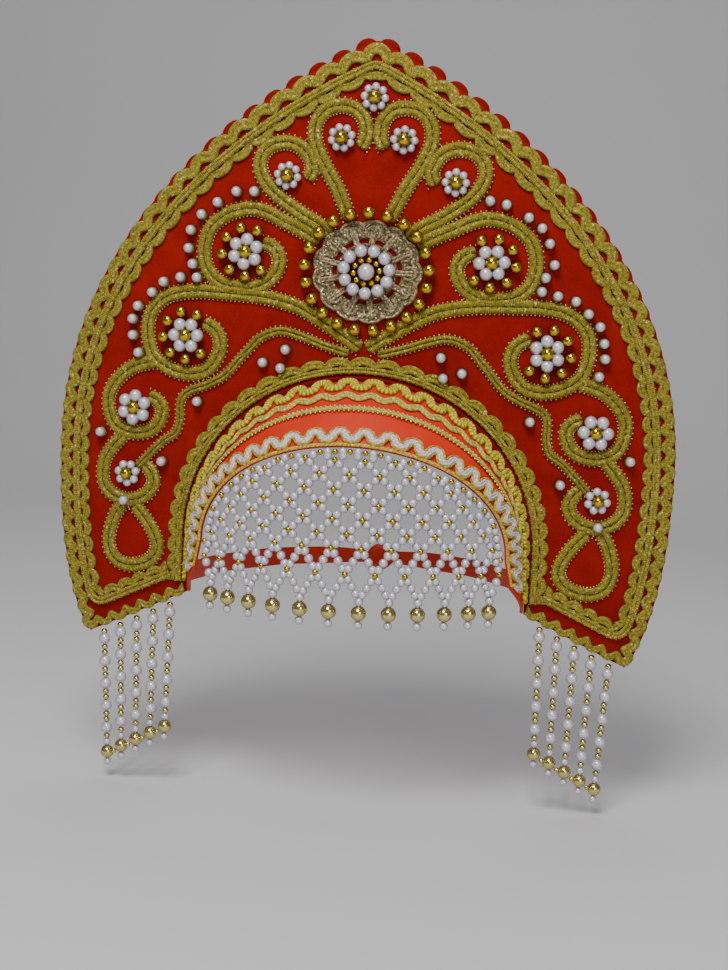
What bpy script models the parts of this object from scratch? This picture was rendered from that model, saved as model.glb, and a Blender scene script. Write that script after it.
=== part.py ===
"""Kokoshnik headdress: a pointed felt shield with gold braid, pearl flowers, a forehead band, a net and ties.

Lengths are in metres and +Z is up. The front faces -Y, and "left" is the viewer's left, at -X.
The shield's trim is drawn on a flat pattern (across, up) and laid on the bent shield, the band's on the band.
The origin is the crown of the band's inside, where the headdress sits on the head.
"""
import math

import bmesh
import bpy
from mathutils import Vector

# Shield
SHIELD_HALF_WIDTH = 0.155
SHIELD_RISE = 0.200
SHIELD_DROP = 0.096
SHIELD_WALL = 0.0024
SHIELD_BEND = 0.600
COLUMN = 0.0125
LOWER_CORNER = 0.885
FOOT_DROP = 0.070
# Control points of the edge's two curves, as shares of the half width and of the rise or drop
UPPER_EDGE = ((0.0, 1.0), (0.50, 0.827), (1.0, 0.475), (1.0, 0.0))
LOWER_EDGE = ((1.0, 0.0), (1.0, 0.42), (0.974, 0.75), (LOWER_CORNER, 1.0))

# Arch for the head
ARCH_HALF_WIDTH = 0.0845
ARCH_RISE = 0.082
ARCH_SPRING = -0.040

# Clearances
GAP = 0.0003
SIDE_GAP = 0.0004

# Braids of the border
WAVE_WIDTH = 0.0043
WAVE_SWING = 0.0015
WAVE_PITCH = 0.0088
WAVE_INSET = 0.0041
WAVE_HEIGHT = 0.0018
GIMP_WIDTH = 0.0085
GIMP_INSET = 0.0126
GIMP_HEIGHT = 0.0016
GIMP_FOOT_RISE = 0.0160
GIMP_STEP = 0.0115
ARCH_GIMP_WIDTH = 0.0070
ARCH_GIMP_START = 0.0020
EDGING_REACH = 0.0030
EDGING_LAP = 0.0060
EDGING_WALL = 0.0014
EDGING_STEP = 0.0165

# Forehead band
BAND_WALL = 0.0016
BAND_DEPTH = 0.038
BAND_BULGE = 0.0020
BROW_HALF_WIDTH = 0.074
BROW_RISE = 0.053
BROW_SWEEP = 0.026
BROW_FOOT_DROP = 0.015
BROW_FOOT_FLARE = 0.003
BAND_SECTIONS = 26
# The share of the band's half that runs round the arch; the rest is its straight foot
BAND_TURN = 0.86

# Braids of the band
JUNCTION_RADIUS = 0.0026
JUNCTION_PLACE = 0.0052
JUNCTION_ZONE = 0.0100
BAND_WAVE_PLACE = 0.0150
BAND_WAVE_WIDTH = 0.0036
BAND_WAVE_SWING = 0.0013
BAND_PITCH = 0.012
CORD_PLACE = 0.0255
CORD_WIDTH = 0.0030
CORD_HEIGHT = 0.0014
EDGE_BRAID_INSET = 0.0052
EDGE_BRAID_WIDTH = 0.0050
EDGE_BRAID_HEIGHT = 0.0016
EDGE_BRAID_SWING = 0.0016
CORD_STEP = 0.0105

# Scroll braids and flowers
SCROLL_WIDTH = 0.0066
SCROLL_HEIGHT = 0.0018
THIN_WIDTH = 0.0040
SCROLL_STEP = 0.0064
CURL_TUCK = 4.0
FLOWER_HEIGHT = 0.0058
SMALL_FLOWER = 0.0068
LARGE_FLOWER = 0.0090
MEDALLION_HEIGHT = 0.0925
LACE_RADIUS = 0.0270
LACE_THICKNESS = 0.0016
ROSETTE_RADIUS = 0.0160
ROSETTE_HEIGHT = 0.0062

# Net and its drops
NET_STEP = 0.0065
NET_ROW = 0.0069
NET_LONG_ROW = 0.0120
NET_COLUMNS = 12
NET_ROWS_ABOVE = 8
NET_BASE = 0.005
NET_STRAND = 0.0022
NET_CLEARANCE = 0.0026
NET_CUT = 0.0035
# How far the net turns round the forehead, in radians from its middle to its side
NET_WRAP = 1.0
DROP_LENGTH = 0.0155
DROP_RADIUS = 0.0040

# Pendant strings
PENDANT_LENGTH = 0.077
PENDANT_RADIUS = 0.0030
PENDANT_COUNT = 5
# The share of the foot's width that stays free at each end of the row of strings
PENDANT_MARGIN = 0.16

# Tie ribbons
RIBBON_WIDTH = 0.010
RIBBON_WALL = 0.0011
TIE_DEPTH = 0.148
TIE_DIP = 0.010
TIE_FOOT = 0.0060
TIE_RAISE = 0.001
KNOT_HALF_WIDTH = 0.0085
KNOT_HALF_DEPTH = 0.0055
KNOT_HALF_HEIGHT = 0.0072

# Flowers on the right half: across and up as shares of the half width and the rise, radius, pearls
FLOWERS = {
    "top": (0.0, 0.869, SMALL_FLOWER, 8),
    "heart": (0.102, 0.770, SMALL_FLOWER, 8),
    "side": (0.268, 0.678, SMALL_FLOWER, 8),
    "shoulder": (0.388, 0.500, LARGE_FLOWER, 6),
    "wing": (0.571, 0.288, LARGE_FLOWER, 6),
    "lower": (0.742, 0.104, LARGE_FLOWER, 6),
    "small": (0.758, -0.064, SMALL_FLOWER, 7),
}

# Scrolls on the right half: stem points (shares as above), curl centre (shares), radii of the curl at its
# start and end as shares of the half width, first angle and sweep in degrees (a minus sweep is clockwise)
SCROLLS = {
    "heart": (((0.080, 0.597), (0.140, 0.680)), (0.102, 0.770), 0.083, 0.072, -22.0, 240.0),
    "side": (((0.142, 0.562), (0.215, 0.600)), (0.269, 0.676), 0.083, 0.071, -75.0, 275.0),
    "shoulder": (((0.178, 0.520), (0.255, 0.560)), (0.390, 0.500), 0.123, 0.084, 92.0, -300.0),
    "wing": (((0.036, 0.281), (0.116, 0.322), (0.245, 0.356), (0.400, 0.367)), (0.571, 0.286), 0.131, 0.084,
             82.0, -298.0),
    "lower": ((), (0.745, 0.103), 0.102, 0.084, 112.0, -322.0),
    "small": ((), (0.758, -0.063), 0.088, 0.071, 56.0, -262.0),
}
# The thin scroll from the arch's crown to the small scroll, right half, as shares
THIN_ROUTE = ((0.112, 0.272), (0.200, 0.296), (0.268, 0.308), (0.361, 0.250), (0.432, 0.188), (0.510, 0.164),
              (0.566, 0.136), (0.590, 0.066), (0.612, 0.010), (0.650, -0.028))
# The drop-shaped loop: centre as shares, half width and half height as shares of the half width, taper
TEAR = (0.750, -0.231, 0.075, 0.081, 0.55)

# Profiles as (across, up) shares of the half width and the height
RIDGE = ((-1.0, 0.0), (1.0, 0.0), (0.0, 1.0))
FLAT = ((-1.0, 0.0), (1.0, 0.0), (1.0, 1.0), (-1.0, 1.0))
ROUND = ((-0.5, 0.0), (0.5, 0.0), (1.0, 0.5), (0.5, 1.0), (-0.5, 1.0), (-1.0, 0.5))

# Sections of a pearl flower and of the stones on the medallion: radius and height shares, and lobe depth
FLOWER_RINGS = ((0.0, 0.0, 0.0), (0.93, 0.0, 0.10), (1.0, 0.45, 0.16), (0.66, 0.95, 0.10), (0.36, 0.66, 0.0),
                (0.0, 1.0, 0.0))
ROSETTE_RINGS = ((0.0, 0.0, 0.0), (0.95, 0.0, 0.05), (1.0, 0.42, 0.10), (0.80, 0.86, 0.04), (0.60, 0.55, 0.0),
                 (0.44, 0.72, 0.0), (0.28, 0.66, 0.0), (0.0, 1.0, 0.0))
LACE_RINGS = ((0.0, 0.0, 0.0), (1.0, 0.0, 0.09), (1.0, 0.55, 0.09), (0.55, 1.0, 0.0), (0.0, 1.0, 0.0))

COLOURS = {
    "felt": ((0.46, 0.012, 0.006, 1.0), 0.9, 0.0),
    "red_tape": ((0.50, 0.015, 0.008, 1.0), 0.6, 0.0),
    "satin": ((0.58, 0.030, 0.015, 1.0), 0.35, 0.0),
    "gold_braid": ((0.50, 0.33, 0.05, 1.0), 0.45, 0.6),
    "bright_braid": ((0.68, 0.50, 0.07, 1.0), 0.45, 0.5),
    "old_gold": ((0.36, 0.22, 0.09, 1.0), 0.5, 0.6),
    "pearl": ((0.82, 0.80, 0.82, 1.0), 0.25, 0.0),
}


def clear_scene():
    for obj in list(bpy.data.objects):
        bpy.data.objects.remove(obj)


def material(name):
    """The named Principled material, made once."""
    found = bpy.data.materials.get(name)
    if found:
        return found
    colour, roughness, metallic = COLOURS[name]
    made = bpy.data.materials.new(name)
    made.use_nodes = True
    shader = made.node_tree.nodes["Principled BSDF"]
    shader.inputs["Base Color"].default_value = colour
    shader.inputs["Roughness"].default_value = roughness
    shader.inputs["Metallic"].default_value = metallic
    made.diffuse_color = colour
    return made


def collection(name):
    made = bpy.data.collections.new(name)
    bpy.context.scene.collection.children.link(made)
    return made


def add_object(name, data, look, target, smooth=False):
    """One named object of the mesh or curve, with its own material, in the target collection."""
    obj = bpy.data.objects.new(name, data)
    obj.data.materials.append(material(look))
    target.objects.link(obj)
    if smooth:
        for polygon in data.polygons:
            polygon.use_smooth = True
    return obj


def mesh_from(bm, name):
    bmesh.ops.recalc_face_normals(bm, faces=bm.faces)
    mesh = bpy.data.meshes.new(name)
    bm.to_mesh(mesh)
    bm.free()
    return mesh


# Flat geometry

def bezier(a, b, c, d, count):
    """Points of a cubic curve, the last one left to the next piece."""
    points = []
    for step in range(count):
        t = step / count
        points.append(a * (1 - t) ** 3 + b * 3 * t * (1 - t) ** 2 + c * 3 * t * t * (1 - t) + d * t ** 3)
    return points


def through(points, count=6):
    """A smooth run through the points."""
    ends = [points[0] * 2 - points[1]] + points + [points[-1] * 2 - points[-2]]
    run = []
    for p, q, r, s in zip(ends, ends[1:], ends[2:], ends[3:]):
        run += bezier(q, q + (r - p) / 6, r - (s - q) / 6, r, count)
    return run + [points[-1]]


def resample(points, step, closed=False, even=False):
    """The same line with points about one step apart."""
    line = points + [points[0]] if closed else points
    lengths = [0.0]
    for a, b in zip(line, line[1:]):
        lengths.append(lengths[-1] + (b - a).length)
    count = max(2, round(lengths[-1] / step))
    count += count % 2 if even else 0
    result = []
    index = 0
    for number in range(count + (0 if closed else 1)):
        goal = lengths[-1] * number / count
        while index < len(line) - 2 and lengths[index + 1] < goal:
            index += 1
        span = lengths[index + 1] - lengths[index]
        result.append(line[index].lerp(line[index + 1], (goal - lengths[index]) / span))
    return result


def side_of(points, index, closed):
    """The unit vector to the right of the travel at a point."""
    last = len(points) - 1
    before = points[index - 1] if index or closed else points[0]
    after = points[(index + 1) % len(points)] if index < last or closed else points[last]
    travel = (after - before).normalized()
    return Vector((travel.y, -travel.x))


def shifted(points, distance, closed=False):
    """The line moved to its right by the distance, with its corners kept at that distance."""
    result = []
    for index, point in enumerate(points):
        side = side_of(points, index, closed)
        if 0 < index < len(points) - 1 or closed:
            travel = (points[(index + 1) % len(points)] - point).normalized()
            lean = max(0.5, side.dot(Vector((travel.y, -travel.x))))
            side = side / lean
        result.append(point + side * distance)
    return result


def waved(points, pitch, swing, closed=False):
    """The line swung from side to side."""
    line = resample(points, pitch / 2, closed, even=True)
    return [point + side_of(line, index, closed) * (swing if index % 2 else -swing)
            for index, point in enumerate(line)]


def field(share):
    """A point of the flat pattern from its shares of the half width and the rise."""
    return Vector((share[0] * SHIELD_HALF_WIDTH, share[1] * SHIELD_RISE))


# Outlines on the flat pattern

def right_outline():
    """The right edge, from the apex to the lower corner."""
    rise = [Vector((x * SHIELD_HALF_WIDTH, y * SHIELD_RISE)) for x, y in UPPER_EDGE]
    fall = [Vector((x * SHIELD_HALF_WIDTH, -y * SHIELD_DROP)) for x, y in LOWER_EDGE]
    return bezier(*rise, 12) + bezier(*fall, 5) + [fall[-1]]


def mirrored(points):
    return [Vector((-point.x, point.y)) for point in points]


def foot_height(across):
    """The height of the bottom edge at a distance from the middle."""
    outer = Vector((LOWER_CORNER * SHIELD_HALF_WIDTH, -SHIELD_DROP))
    share = (abs(across) - ARCH_HALF_WIDTH) / (outer.x - ARCH_HALF_WIDTH)
    return -FOOT_DROP + share * (outer.y + FOOT_DROP)


def border():
    """The outer edge from the left foot's inner corner over the apex to the right one."""
    right = right_outline() + [Vector((ARCH_HALF_WIDTH, -FOOT_DROP))]
    return list(reversed(mirrored(right)))[:-1] + right


def arch(offset, foot, sections=9):
    """The arch's edge moved outwards by the offset, from its left foot over the crown to its right foot."""
    half = ARCH_HALF_WIDTH + offset
    right = []
    for step in range(sections + 1):
        angle = math.pi / 2 * (1 - step / sections)
        right.append(Vector((half * math.cos(angle), ARCH_SPRING + (ARCH_RISE + offset) * math.sin(angle))))
    right.append(Vector((half, foot)))
    return list(reversed(mirrored(right)))[:-1] + right


def gimp_route():
    """The inner border braid: beside the outer edge, round the lower corners and in above the feet."""
    inner = ARCH_HALF_WIDTH + ARCH_GIMP_START + ARCH_GIMP_WIDTH + SIDE_GAP
    side = shifted(border(), GIMP_INSET)
    right = [point for point in side if point.x >= 0 and point.y > foot_height(point.x) + GIMP_FOOT_RISE]
    right = [point for point in right if point.y > -SHIELD_DROP or point.x > ARCH_HALF_WIDTH]
    corner = right[-1].x - GIMP_WIDTH / 4
    for share in (0.0, 0.5, 1.0):
        across = corner + (inner - corner) * share
        right.append(Vector((across, foot_height(across) + GIMP_FOOT_RISE)))
    return list(reversed(mirrored(right)))[:-1] + right


# Surfaces that the flat pieces are laid on

def brow_depth(across):
    """How far in front of the shield's middle the brow line lies at a distance from the middle."""
    return -BAND_DEPTH + BROW_SWEEP * (across / BROW_HALF_WIDTH) ** 2


def brow_point(share):
    """The band's front edge: the share runs from 0 at the crown to 1 at the foot, minus on the left."""
    part = abs(share)
    if part <= BAND_TURN:
        angle = math.pi / 2 * (1 - part / BAND_TURN)
        across, up = BROW_HALF_WIDTH * math.cos(angle), ARCH_SPRING + BROW_RISE * math.sin(angle)
    else:
        fall = (part - BAND_TURN) / (1 - BAND_TURN)
        across, up = BROW_HALF_WIDTH + BROW_FOOT_FLARE * fall, ARCH_SPRING - BROW_FOOT_DROP * fall
    return Vector((math.copysign(across, share), brow_depth(across), up))


def rear_point(share):
    """The band's rear edge, just inside the arch and flush with the shield's back."""
    half = ARCH_HALF_WIDTH - GAP - BAND_WALL / 2
    rise = ARCH_RISE - GAP - BAND_WALL / 2
    part = abs(share)
    if part <= BAND_TURN:
        angle = math.pi / 2 * (1 - part / BAND_TURN)
        across, up = half * math.cos(angle), ARCH_SPRING + rise * math.sin(angle)
    else:
        across = half
        up = ARCH_SPRING - (FOOT_DROP + ARCH_SPRING) * (part - BAND_TURN) / (1 - BAND_TURN)
    return bent(math.copysign(across, share), up, -SHIELD_WALL)


def bent(across, up, lift):
    """A point of the flat pattern on the bent shield, lifted off its front."""
    angle = across / SHIELD_BEND
    radius = SHIELD_BEND + lift
    return Vector((radius * math.sin(angle), SHIELD_BEND - radius * math.cos(angle), up))


def seat():
    """The crown of the band's inside, which is the origin of the finished part."""
    return (rear_point(0.0) + brow_point(0.0)) / 2 + Vector((0.0, 0.0, BAND_BULGE - BAND_WALL))


def on_shield(across, up, lift):
    return bent(across, up, lift) - seat()


def band_surface(share, depth_share):
    """The middle of the band's wall."""
    rear = rear_point(share)
    front = brow_point(share)
    out = Vector((rear.x, 0.0, rear.z - ARCH_SPRING)).normalized()
    return rear.lerp(front, depth_share) + out * (BAND_BULGE * 4 * depth_share * (1 - depth_share))


def band_length():
    points = [band_surface(step / 40, 0.5) for step in range(41)]
    return sum((b - a).length for a, b in zip(points, points[1:]))


def on_band(along, depth, lift):
    """A point on the band's outside: along it from the crown, forward from its rear edge, lifted off it."""
    share = max(-1.0, min(1.0, along / band_length()))
    width = (brow_point(share) - rear_point(share)).length
    spare = (width - JUNCTION_ZONE) / (BAND_WIDTH_AT_CROWN - JUNCTION_ZONE)
    place = (depth if depth < JUNCTION_ZONE else JUNCTION_ZONE + (depth - JUNCTION_ZONE) * spare) / width
    step = 0.002
    point = band_surface(share, place)
    across = band_surface(min(1.0, share + step), place) - band_surface(max(-1.0, share - step), place)
    forward = band_surface(share, place + step) - band_surface(share, place - step)
    normal = across.cross(forward).normalized()
    normal = -normal if normal.dot(Vector((point.x, 0.0, point.z - ARCH_SPRING))) < 0 else normal
    return point + normal * (BAND_WALL / 2 + lift) - seat()


BAND_WIDTH_AT_CROWN = (brow_point(0.0) - rear_point(0.0)).length


# Solid pieces

def rolled(bm, columns, corners, place, closed):
    """A grid rolled into a tube: place(column, corner) gives each point; open ends are capped."""
    count = columns if closed else columns - 1
    grid = bmesh.ops.create_grid(bm, x_segments=count, y_segments=corners, size=0.5)["verts"]
    for vert in grid:
        column = round((vert.co.x + 0.5) * count) % columns
        corner = round((vert.co.y + 0.5) * corners) % corners
        vert.co = place(column, corner)
    bmesh.ops.remove_doubles(bm, verts=bm.verts, dist=1e-6)
    if not closed:
        bmesh.ops.holes_fill(bm, edges=[edge for edge in bm.edges if edge.is_boundary], sides=0)


def lay(name, route, width, height, surface, look, target, profile=RIDGE, closed=False, lift=GAP):
    """A braid or tape of one profile, laid along the route on a surface."""
    half = width / 2

    def place(column, corner):
        point = route[column] + side_of(route, column, closed) * (profile[corner][0] * half)
        return surface(point.x, point.y, lift + profile[corner][1] * height)

    bm = bmesh.new()
    rolled(bm, len(route), len(profile), place, closed)
    return add_object(name, mesh_from(bm, name), look, target)


def rosette(name, centre, radius, height, lobes, rings, look, target):
    """A lobed round piece on the shield, from a table of rings."""
    sides = lobes * 2
    bm = bmesh.new()
    grid = bmesh.ops.create_grid(bm, x_segments=sides, y_segments=len(rings) - 1, size=0.5)["verts"]
    for vert in grid:
        column = round((vert.co.x + 0.5) * sides) % sides
        share, up, lobe = rings[round((vert.co.y + 0.5) * (len(rings) - 1))]
        reach = radius * share * (1 - (lobe if column % 2 else 0.0))
        angle = math.tau * column / sides
        place = centre + Vector((math.cos(angle), math.sin(angle))) * reach
        vert.co = on_shield(place.x, place.y, GAP + up * height)
    bmesh.ops.remove_doubles(bm, verts=bm.verts, dist=1e-6)
    return add_object(name, mesh_from(bm, name), look, target, smooth=True)


def solidify(obj, thickness, offset):
    modifier = obj.modifiers.new("wall", "SOLIDIFY")
    modifier.thickness = thickness
    modifier.offset = offset
    modifier.use_even_offset = True


def shield(target):
    """The felt-covered board: the flat outline cut into columns, bent and given its wall."""
    outline = border() + list(reversed(arch(0.0, -FOOT_DROP)))[1:-1]
    bm = bmesh.new()
    verts = [bm.verts.new((point.x, point.y, 0.0)) for point in outline]
    bm.faces.new(verts)
    count = round(SHIELD_HALF_WIDTH / COLUMN)
    for number in range(-count + 1, count):
        across = SHIELD_HALF_WIDTH * number / count
        geometry = list(bm.verts) + list(bm.edges) + list(bm.faces)
        bmesh.ops.bisect_plane(bm, geom=geometry, plane_co=(across, 0, 0), plane_no=(1, 0, 0), dist=1e-6)
    for vert in bm.verts:
        vert.co = on_shield(vert.co.x, vert.co.y, 0.0)
    obj = add_object("shield", mesh_from(bm, "shield"), "felt", target)
    front = obj.data.polygons[0].normal.y < 0
    solidify(obj, SHIELD_WALL, -1.0 if front else 1.0)
    return obj


def border_braids(target):
    outer = shifted(border(), WAVE_INSET)
    foot = outer[0].copy()
    foot.x = -ARCH_HALF_WIDTH - WAVE_WIDTH / 2
    foot.y = foot_height(foot.x) + WAVE_INSET + WAVE_SWING
    outer[0] = foot
    outer[-1] = Vector((-foot.x, foot.y))
    lay("edge_wave_braid", waved(outer, WAVE_PITCH, WAVE_SWING), WAVE_WIDTH, WAVE_HEIGHT, on_shield,
        "gold_braid", target)
    gimp = resample(gimp_route(), GIMP_STEP)
    lay("border_gimp", gimp, GIMP_WIDTH, GIMP_HEIGHT, on_shield, "gold_braid", target)
    middle = ARCH_GIMP_START + ARCH_GIMP_WIDTH / 2
    low = foot_height(ARCH_HALF_WIDTH) + WAVE_INSET + WAVE_SWING * 2 + WAVE_WIDTH / 2 + GAP
    arch_route = resample(arch(middle, low + GIMP_WIDTH / 4), GIMP_STEP)
    lay("arch_gimp", arch_route, ARCH_GIMP_WIDTH, GIMP_HEIGHT, on_shield, "gold_braid", target)


def red_edging(target):
    """The red tape behind the outer edge, which shows as a rim round the gold."""
    right = right_outline()
    outer = list(reversed(mirrored(right)))[:-1] + right
    middle = shifted(outer, (EDGING_LAP - EDGING_REACH) / 2)
    route = resample(middle, EDGING_STEP, even=True)
    lay("red_edging", route, EDGING_LAP + EDGING_REACH, EDGING_WALL, on_shield, "red_tape", target,
        profile=FLAT, lift=-SHIELD_WALL - GAP - EDGING_WALL)


def scroll_route(stem, centre, start, end, first, sweep):
    """A stem that runs into a curl, whose radius tucks in towards its end."""
    points = [field(share) for share in stem]
    middle = field(centre)
    steps = 16
    for step in range(steps + 1):
        part = step / steps
        radius = (start + (end - start) * part ** CURL_TUCK) * SHIELD_HALF_WIDTH
        angle = math.radians(first + sweep * part)
        points.append(middle + Vector((math.cos(angle), math.sin(angle))) * radius)
    return resample(through(points), SCROLL_STEP)


def tear_route():
    across, up, half_width, half_height, taper = TEAR
    centre = field((across, up))
    points = []
    for step in range(24):
        angle = math.tau * step / 24
        wide = half_width * SHIELD_HALF_WIDTH * math.sin(angle) * (1 - taper * math.cos(angle))
        points.append(centre + Vector((wide, half_height * SHIELD_HALF_WIDTH * math.cos(angle))))
    return resample(points, SCROLL_STEP, closed=True)


def scrolls(target):
    routes = {name: (scroll_route(*row), SCROLL_WIDTH, False) for name, row in SCROLLS.items()}
    thin = through([field(share) for share in THIN_ROUTE])
    routes["thin"] = (resample(thin, SCROLL_STEP), THIN_WIDTH, False)
    routes["tear"] = (tear_route(), SCROLL_WIDTH, True)
    for name, (route, width, closed) in routes.items():
        for side, line in (("left", mirrored(route)), ("right", route)):
            lay(f"scroll_{name}_{side}", line, width, SCROLL_HEIGHT, on_shield, "gold_braid", target,
                closed=closed)


def flowers(target):
    for name, (across, up, radius, pearls) in FLOWERS.items():
        centre = field((across, up))
        for side, middle in (("left", Vector((-centre.x, centre.y))), ("right", centre)):
            label = "flower_top" if name == "top" else f"flower_{name}_{side}"
            if label == "flower_top" and side == "left":
                continue
            rosette(label, middle, radius, FLOWER_HEIGHT, pearls, FLOWER_RINGS, "pearl", target)


def medallion(target):
    centre = Vector((0.0, MEDALLION_HEIGHT))
    rosette("medallion_lace", centre, LACE_RADIUS, LACE_THICKNESS, 20, LACE_RINGS, "old_gold", target)
    stones = rosette("medallion_pearls", centre, ROSETTE_RADIUS, ROSETTE_HEIGHT, 12, ROSETTE_RINGS, "pearl",
                     target)
    for vert in stones.data.vertices:
        vert.co.y -= LACE_THICKNESS + GAP


def band(target):
    bm = bmesh.new()
    rows = 2
    grid = bmesh.ops.create_grid(bm, x_segments=BAND_SECTIONS, y_segments=rows, size=0.5)["verts"]
    for vert in grid:
        vert.co = band_surface(vert.co.x * 2, vert.co.y + 0.5) - seat()
    obj = add_object("forehead_band", mesh_from(bm, "forehead_band"), "satin", target, smooth=True)
    solidify(obj, BAND_WALL, 0.0)


def band_route(depth, end_share, swing=0.0):
    """A line round the band at a depth from its rear edge, swung from side to side if asked."""
    reach = band_length() * end_share
    line = [Vector((-reach, depth)), Vector((reach, depth))]
    return waved(line, BAND_PITCH, swing) if swing else resample(line, CORD_STEP)


def band_braids(target):
    edge_place = BAND_WIDTH_AT_CROWN - EDGE_BRAID_INSET
    lay("junction_braid", band_route(JUNCTION_PLACE, 0.97), JUNCTION_RADIUS * 2, JUNCTION_RADIUS * 2,
        on_band, "bright_braid", target, profile=ROUND)
    lay("band_wave_braid", band_route(BAND_WAVE_PLACE, 0.74, BAND_WAVE_SWING), BAND_WAVE_WIDTH, CORD_HEIGHT,
        on_band, "gold_braid", target)
    lay("band_picot_cord", band_route(CORD_PLACE, 0.66), CORD_WIDTH, CORD_HEIGHT,
        on_band, "gold_braid", target)
    lay("band_edge_braid", band_route(edge_place, 0.97, EDGE_BRAID_SWING), EDGE_BRAID_WIDTH, EDGE_BRAID_HEIGHT,
        on_band, "bright_braid", target)


def net_share(along):
    """The share of the net's half width that a distance along it reaches, as it turns round the forehead."""
    return math.sin(NET_WRAP * along / (NET_STEP * NET_COLUMNS)) / math.sin(NET_WRAP)


def net_crown(along):
    """The height of the net's top edge at a distance along it from the middle."""
    share = net_share(along)
    return ARCH_SPRING + (BROW_RISE - NET_CLEARANCE) * math.sqrt(max(0.0, 1 - share ** 2))


def on_net(along, up, lift=0.0):
    """A point of the net, which hangs straight down along the brow."""
    across = net_share(along) * (BROW_HALF_WIDTH - NET_CLEARANCE)
    return Vector((across, brow_depth(across) - lift, up)) - seat()


def knot(column, row):
    """A knot of the net: rows count up from 0, with two long rows below; the top ones sit on the edge."""
    up = ARCH_SPRING + NET_BASE + (NET_ROW if row > 0 else NET_LONG_ROW) * row
    along = column * NET_STEP
    return on_net(along, min(up, net_crown(along)))


def net(target, cutters):
    """The forehead net: diamonds of strands, with the drops at its lower tips joined on."""
    bm = bmesh.new()
    made = {}

    def vert(column, row):
        place = knot(column, row)
        key = tuple(round(value * 1e5) for value in place)
        if key not in made:
            made[key] = bm.verts.new(place)
        return made[key]

    for row in range(-1, NET_ROWS_ABOVE + 1):
        for column in range(-NET_COLUMNS + 1, NET_COLUMNS):
            if (column + row) % 2:
                continue
            floor = knot(column, row - 1)
            if floor.z + seat().z > net_crown(column * NET_STEP) - NET_CUT:
                continue
            places = ((column - 1, row), (column, row - 1), (column + 1, row), (column, row + 1))
            bm.faces.new(list(dict.fromkeys(vert(*place) for place in places)))
    obj = add_object("forehead_net", mesh_from(bm, "forehead_net"), "pearl", target)
    frame = obj.modifiers.new("strands", "WIREFRAME")
    frame.thickness = NET_STRAND
    frame.use_even_offset = True
    frame.use_relative_offset = False
    frame.use_boundary = True
    union = obj.modifiers.new("drops", "BOOLEAN")
    union.operation = "UNION"
    union.solver = "EXACT"
    union.object = net_drops(cutters)


def net_drops(cutters):
    """All drops of the net in one mesh: a turned pearl, gold bead and pearl under each tip."""
    rings = ((0.0, 0.0), (0.45, 0.08), (0.36, 0.24), (1.0, 0.50), (0.36, 0.76), (0.48, 0.88), (0.0, 1.0))
    sides = 10
    bm = bmesh.new()
    for column in range(-NET_COLUMNS + 1, NET_COLUMNS, 2):
        top = knot(column, -2) + Vector((0.0, 0.0, NET_STRAND / 3))
        part = bmesh.new()
        grid = bmesh.ops.create_grid(part, x_segments=sides, y_segments=len(rings) - 1, size=0.5)["verts"]
        for vert in grid:
            angle = math.tau * (round((vert.co.x + 0.5) * sides) % sides) / sides
            share, down = rings[round((vert.co.y + 0.5) * (len(rings) - 1))]
            reach = share * DROP_RADIUS
            vert.co = top + Vector((reach * math.cos(angle), reach * math.sin(angle), -down * DROP_LENGTH))
        bmesh.ops.remove_doubles(part, verts=part.verts, dist=1e-6)
        bmesh.ops.recalc_face_normals(part, faces=part.faces)
        mesh = bpy.data.meshes.new("drop")
        part.to_mesh(mesh)
        part.free()
        bm.from_mesh(mesh)
        bpy.data.meshes.remove(mesh)
    obj = add_object("net_drops", mesh_from(bm, "net_drops"), "pearl", cutters)
    obj.hide_render = True
    obj.display_type = "WIRE"
    return obj


def pendants(target):
    """The strings under each wing, each a tube of one string's thickness."""
    foot = LOWER_CORNER * SHIELD_HALF_WIDTH - ARCH_HALF_WIDTH
    slope = (SHIELD_DROP - FOOT_DROP) / foot
    pitch = foot * (1 - 2 * PENDANT_MARGIN) / (PENDANT_COUNT - 1)
    for side, sign in (("left", -1.0), ("right", 1.0)):
        for number in range(PENDANT_COUNT):
            across = ARCH_HALF_WIDTH + foot * PENDANT_MARGIN + pitch * number
            top = foot_height(across) - GAP - PENDANT_RADIUS * slope
            start = on_shield(sign * across, top, -SHIELD_WALL / 2)
            curve = bpy.data.curves.new(f"pendant_{side}_{number + 1}", "CURVE")
            curve.dimensions = "3D"
            spline = curve.splines.new("POLY")
            spline.points.add(3)
            for index, point in enumerate(spline.points):
                share = index / 3
                point.co = (start.x, start.y, start.z - PENDANT_LENGTH * share, 1.0)
            curve.bevel_depth = PENDANT_RADIUS
            curve.bevel_resolution = 2
            curve.use_fill_caps = True
            add_object(curve.name, curve, "pearl", target)


def tie_point(angle, up_share):
    """A point on the tie's loop round the back of the head: 0 degrees at the shield, 90 at the knot."""
    half = ARCH_HALF_WIDTH + TIE_FOOT
    start = bent(half, 0.0, -SHIELD_WALL - GAP).y
    up = -FOOT_DROP + RIBBON_WIDTH * up_share - TIE_DIP * math.sin(angle)
    return Vector((half * math.cos(angle), start + TIE_DEPTH * math.sin(angle), up + TIE_RAISE))


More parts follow.
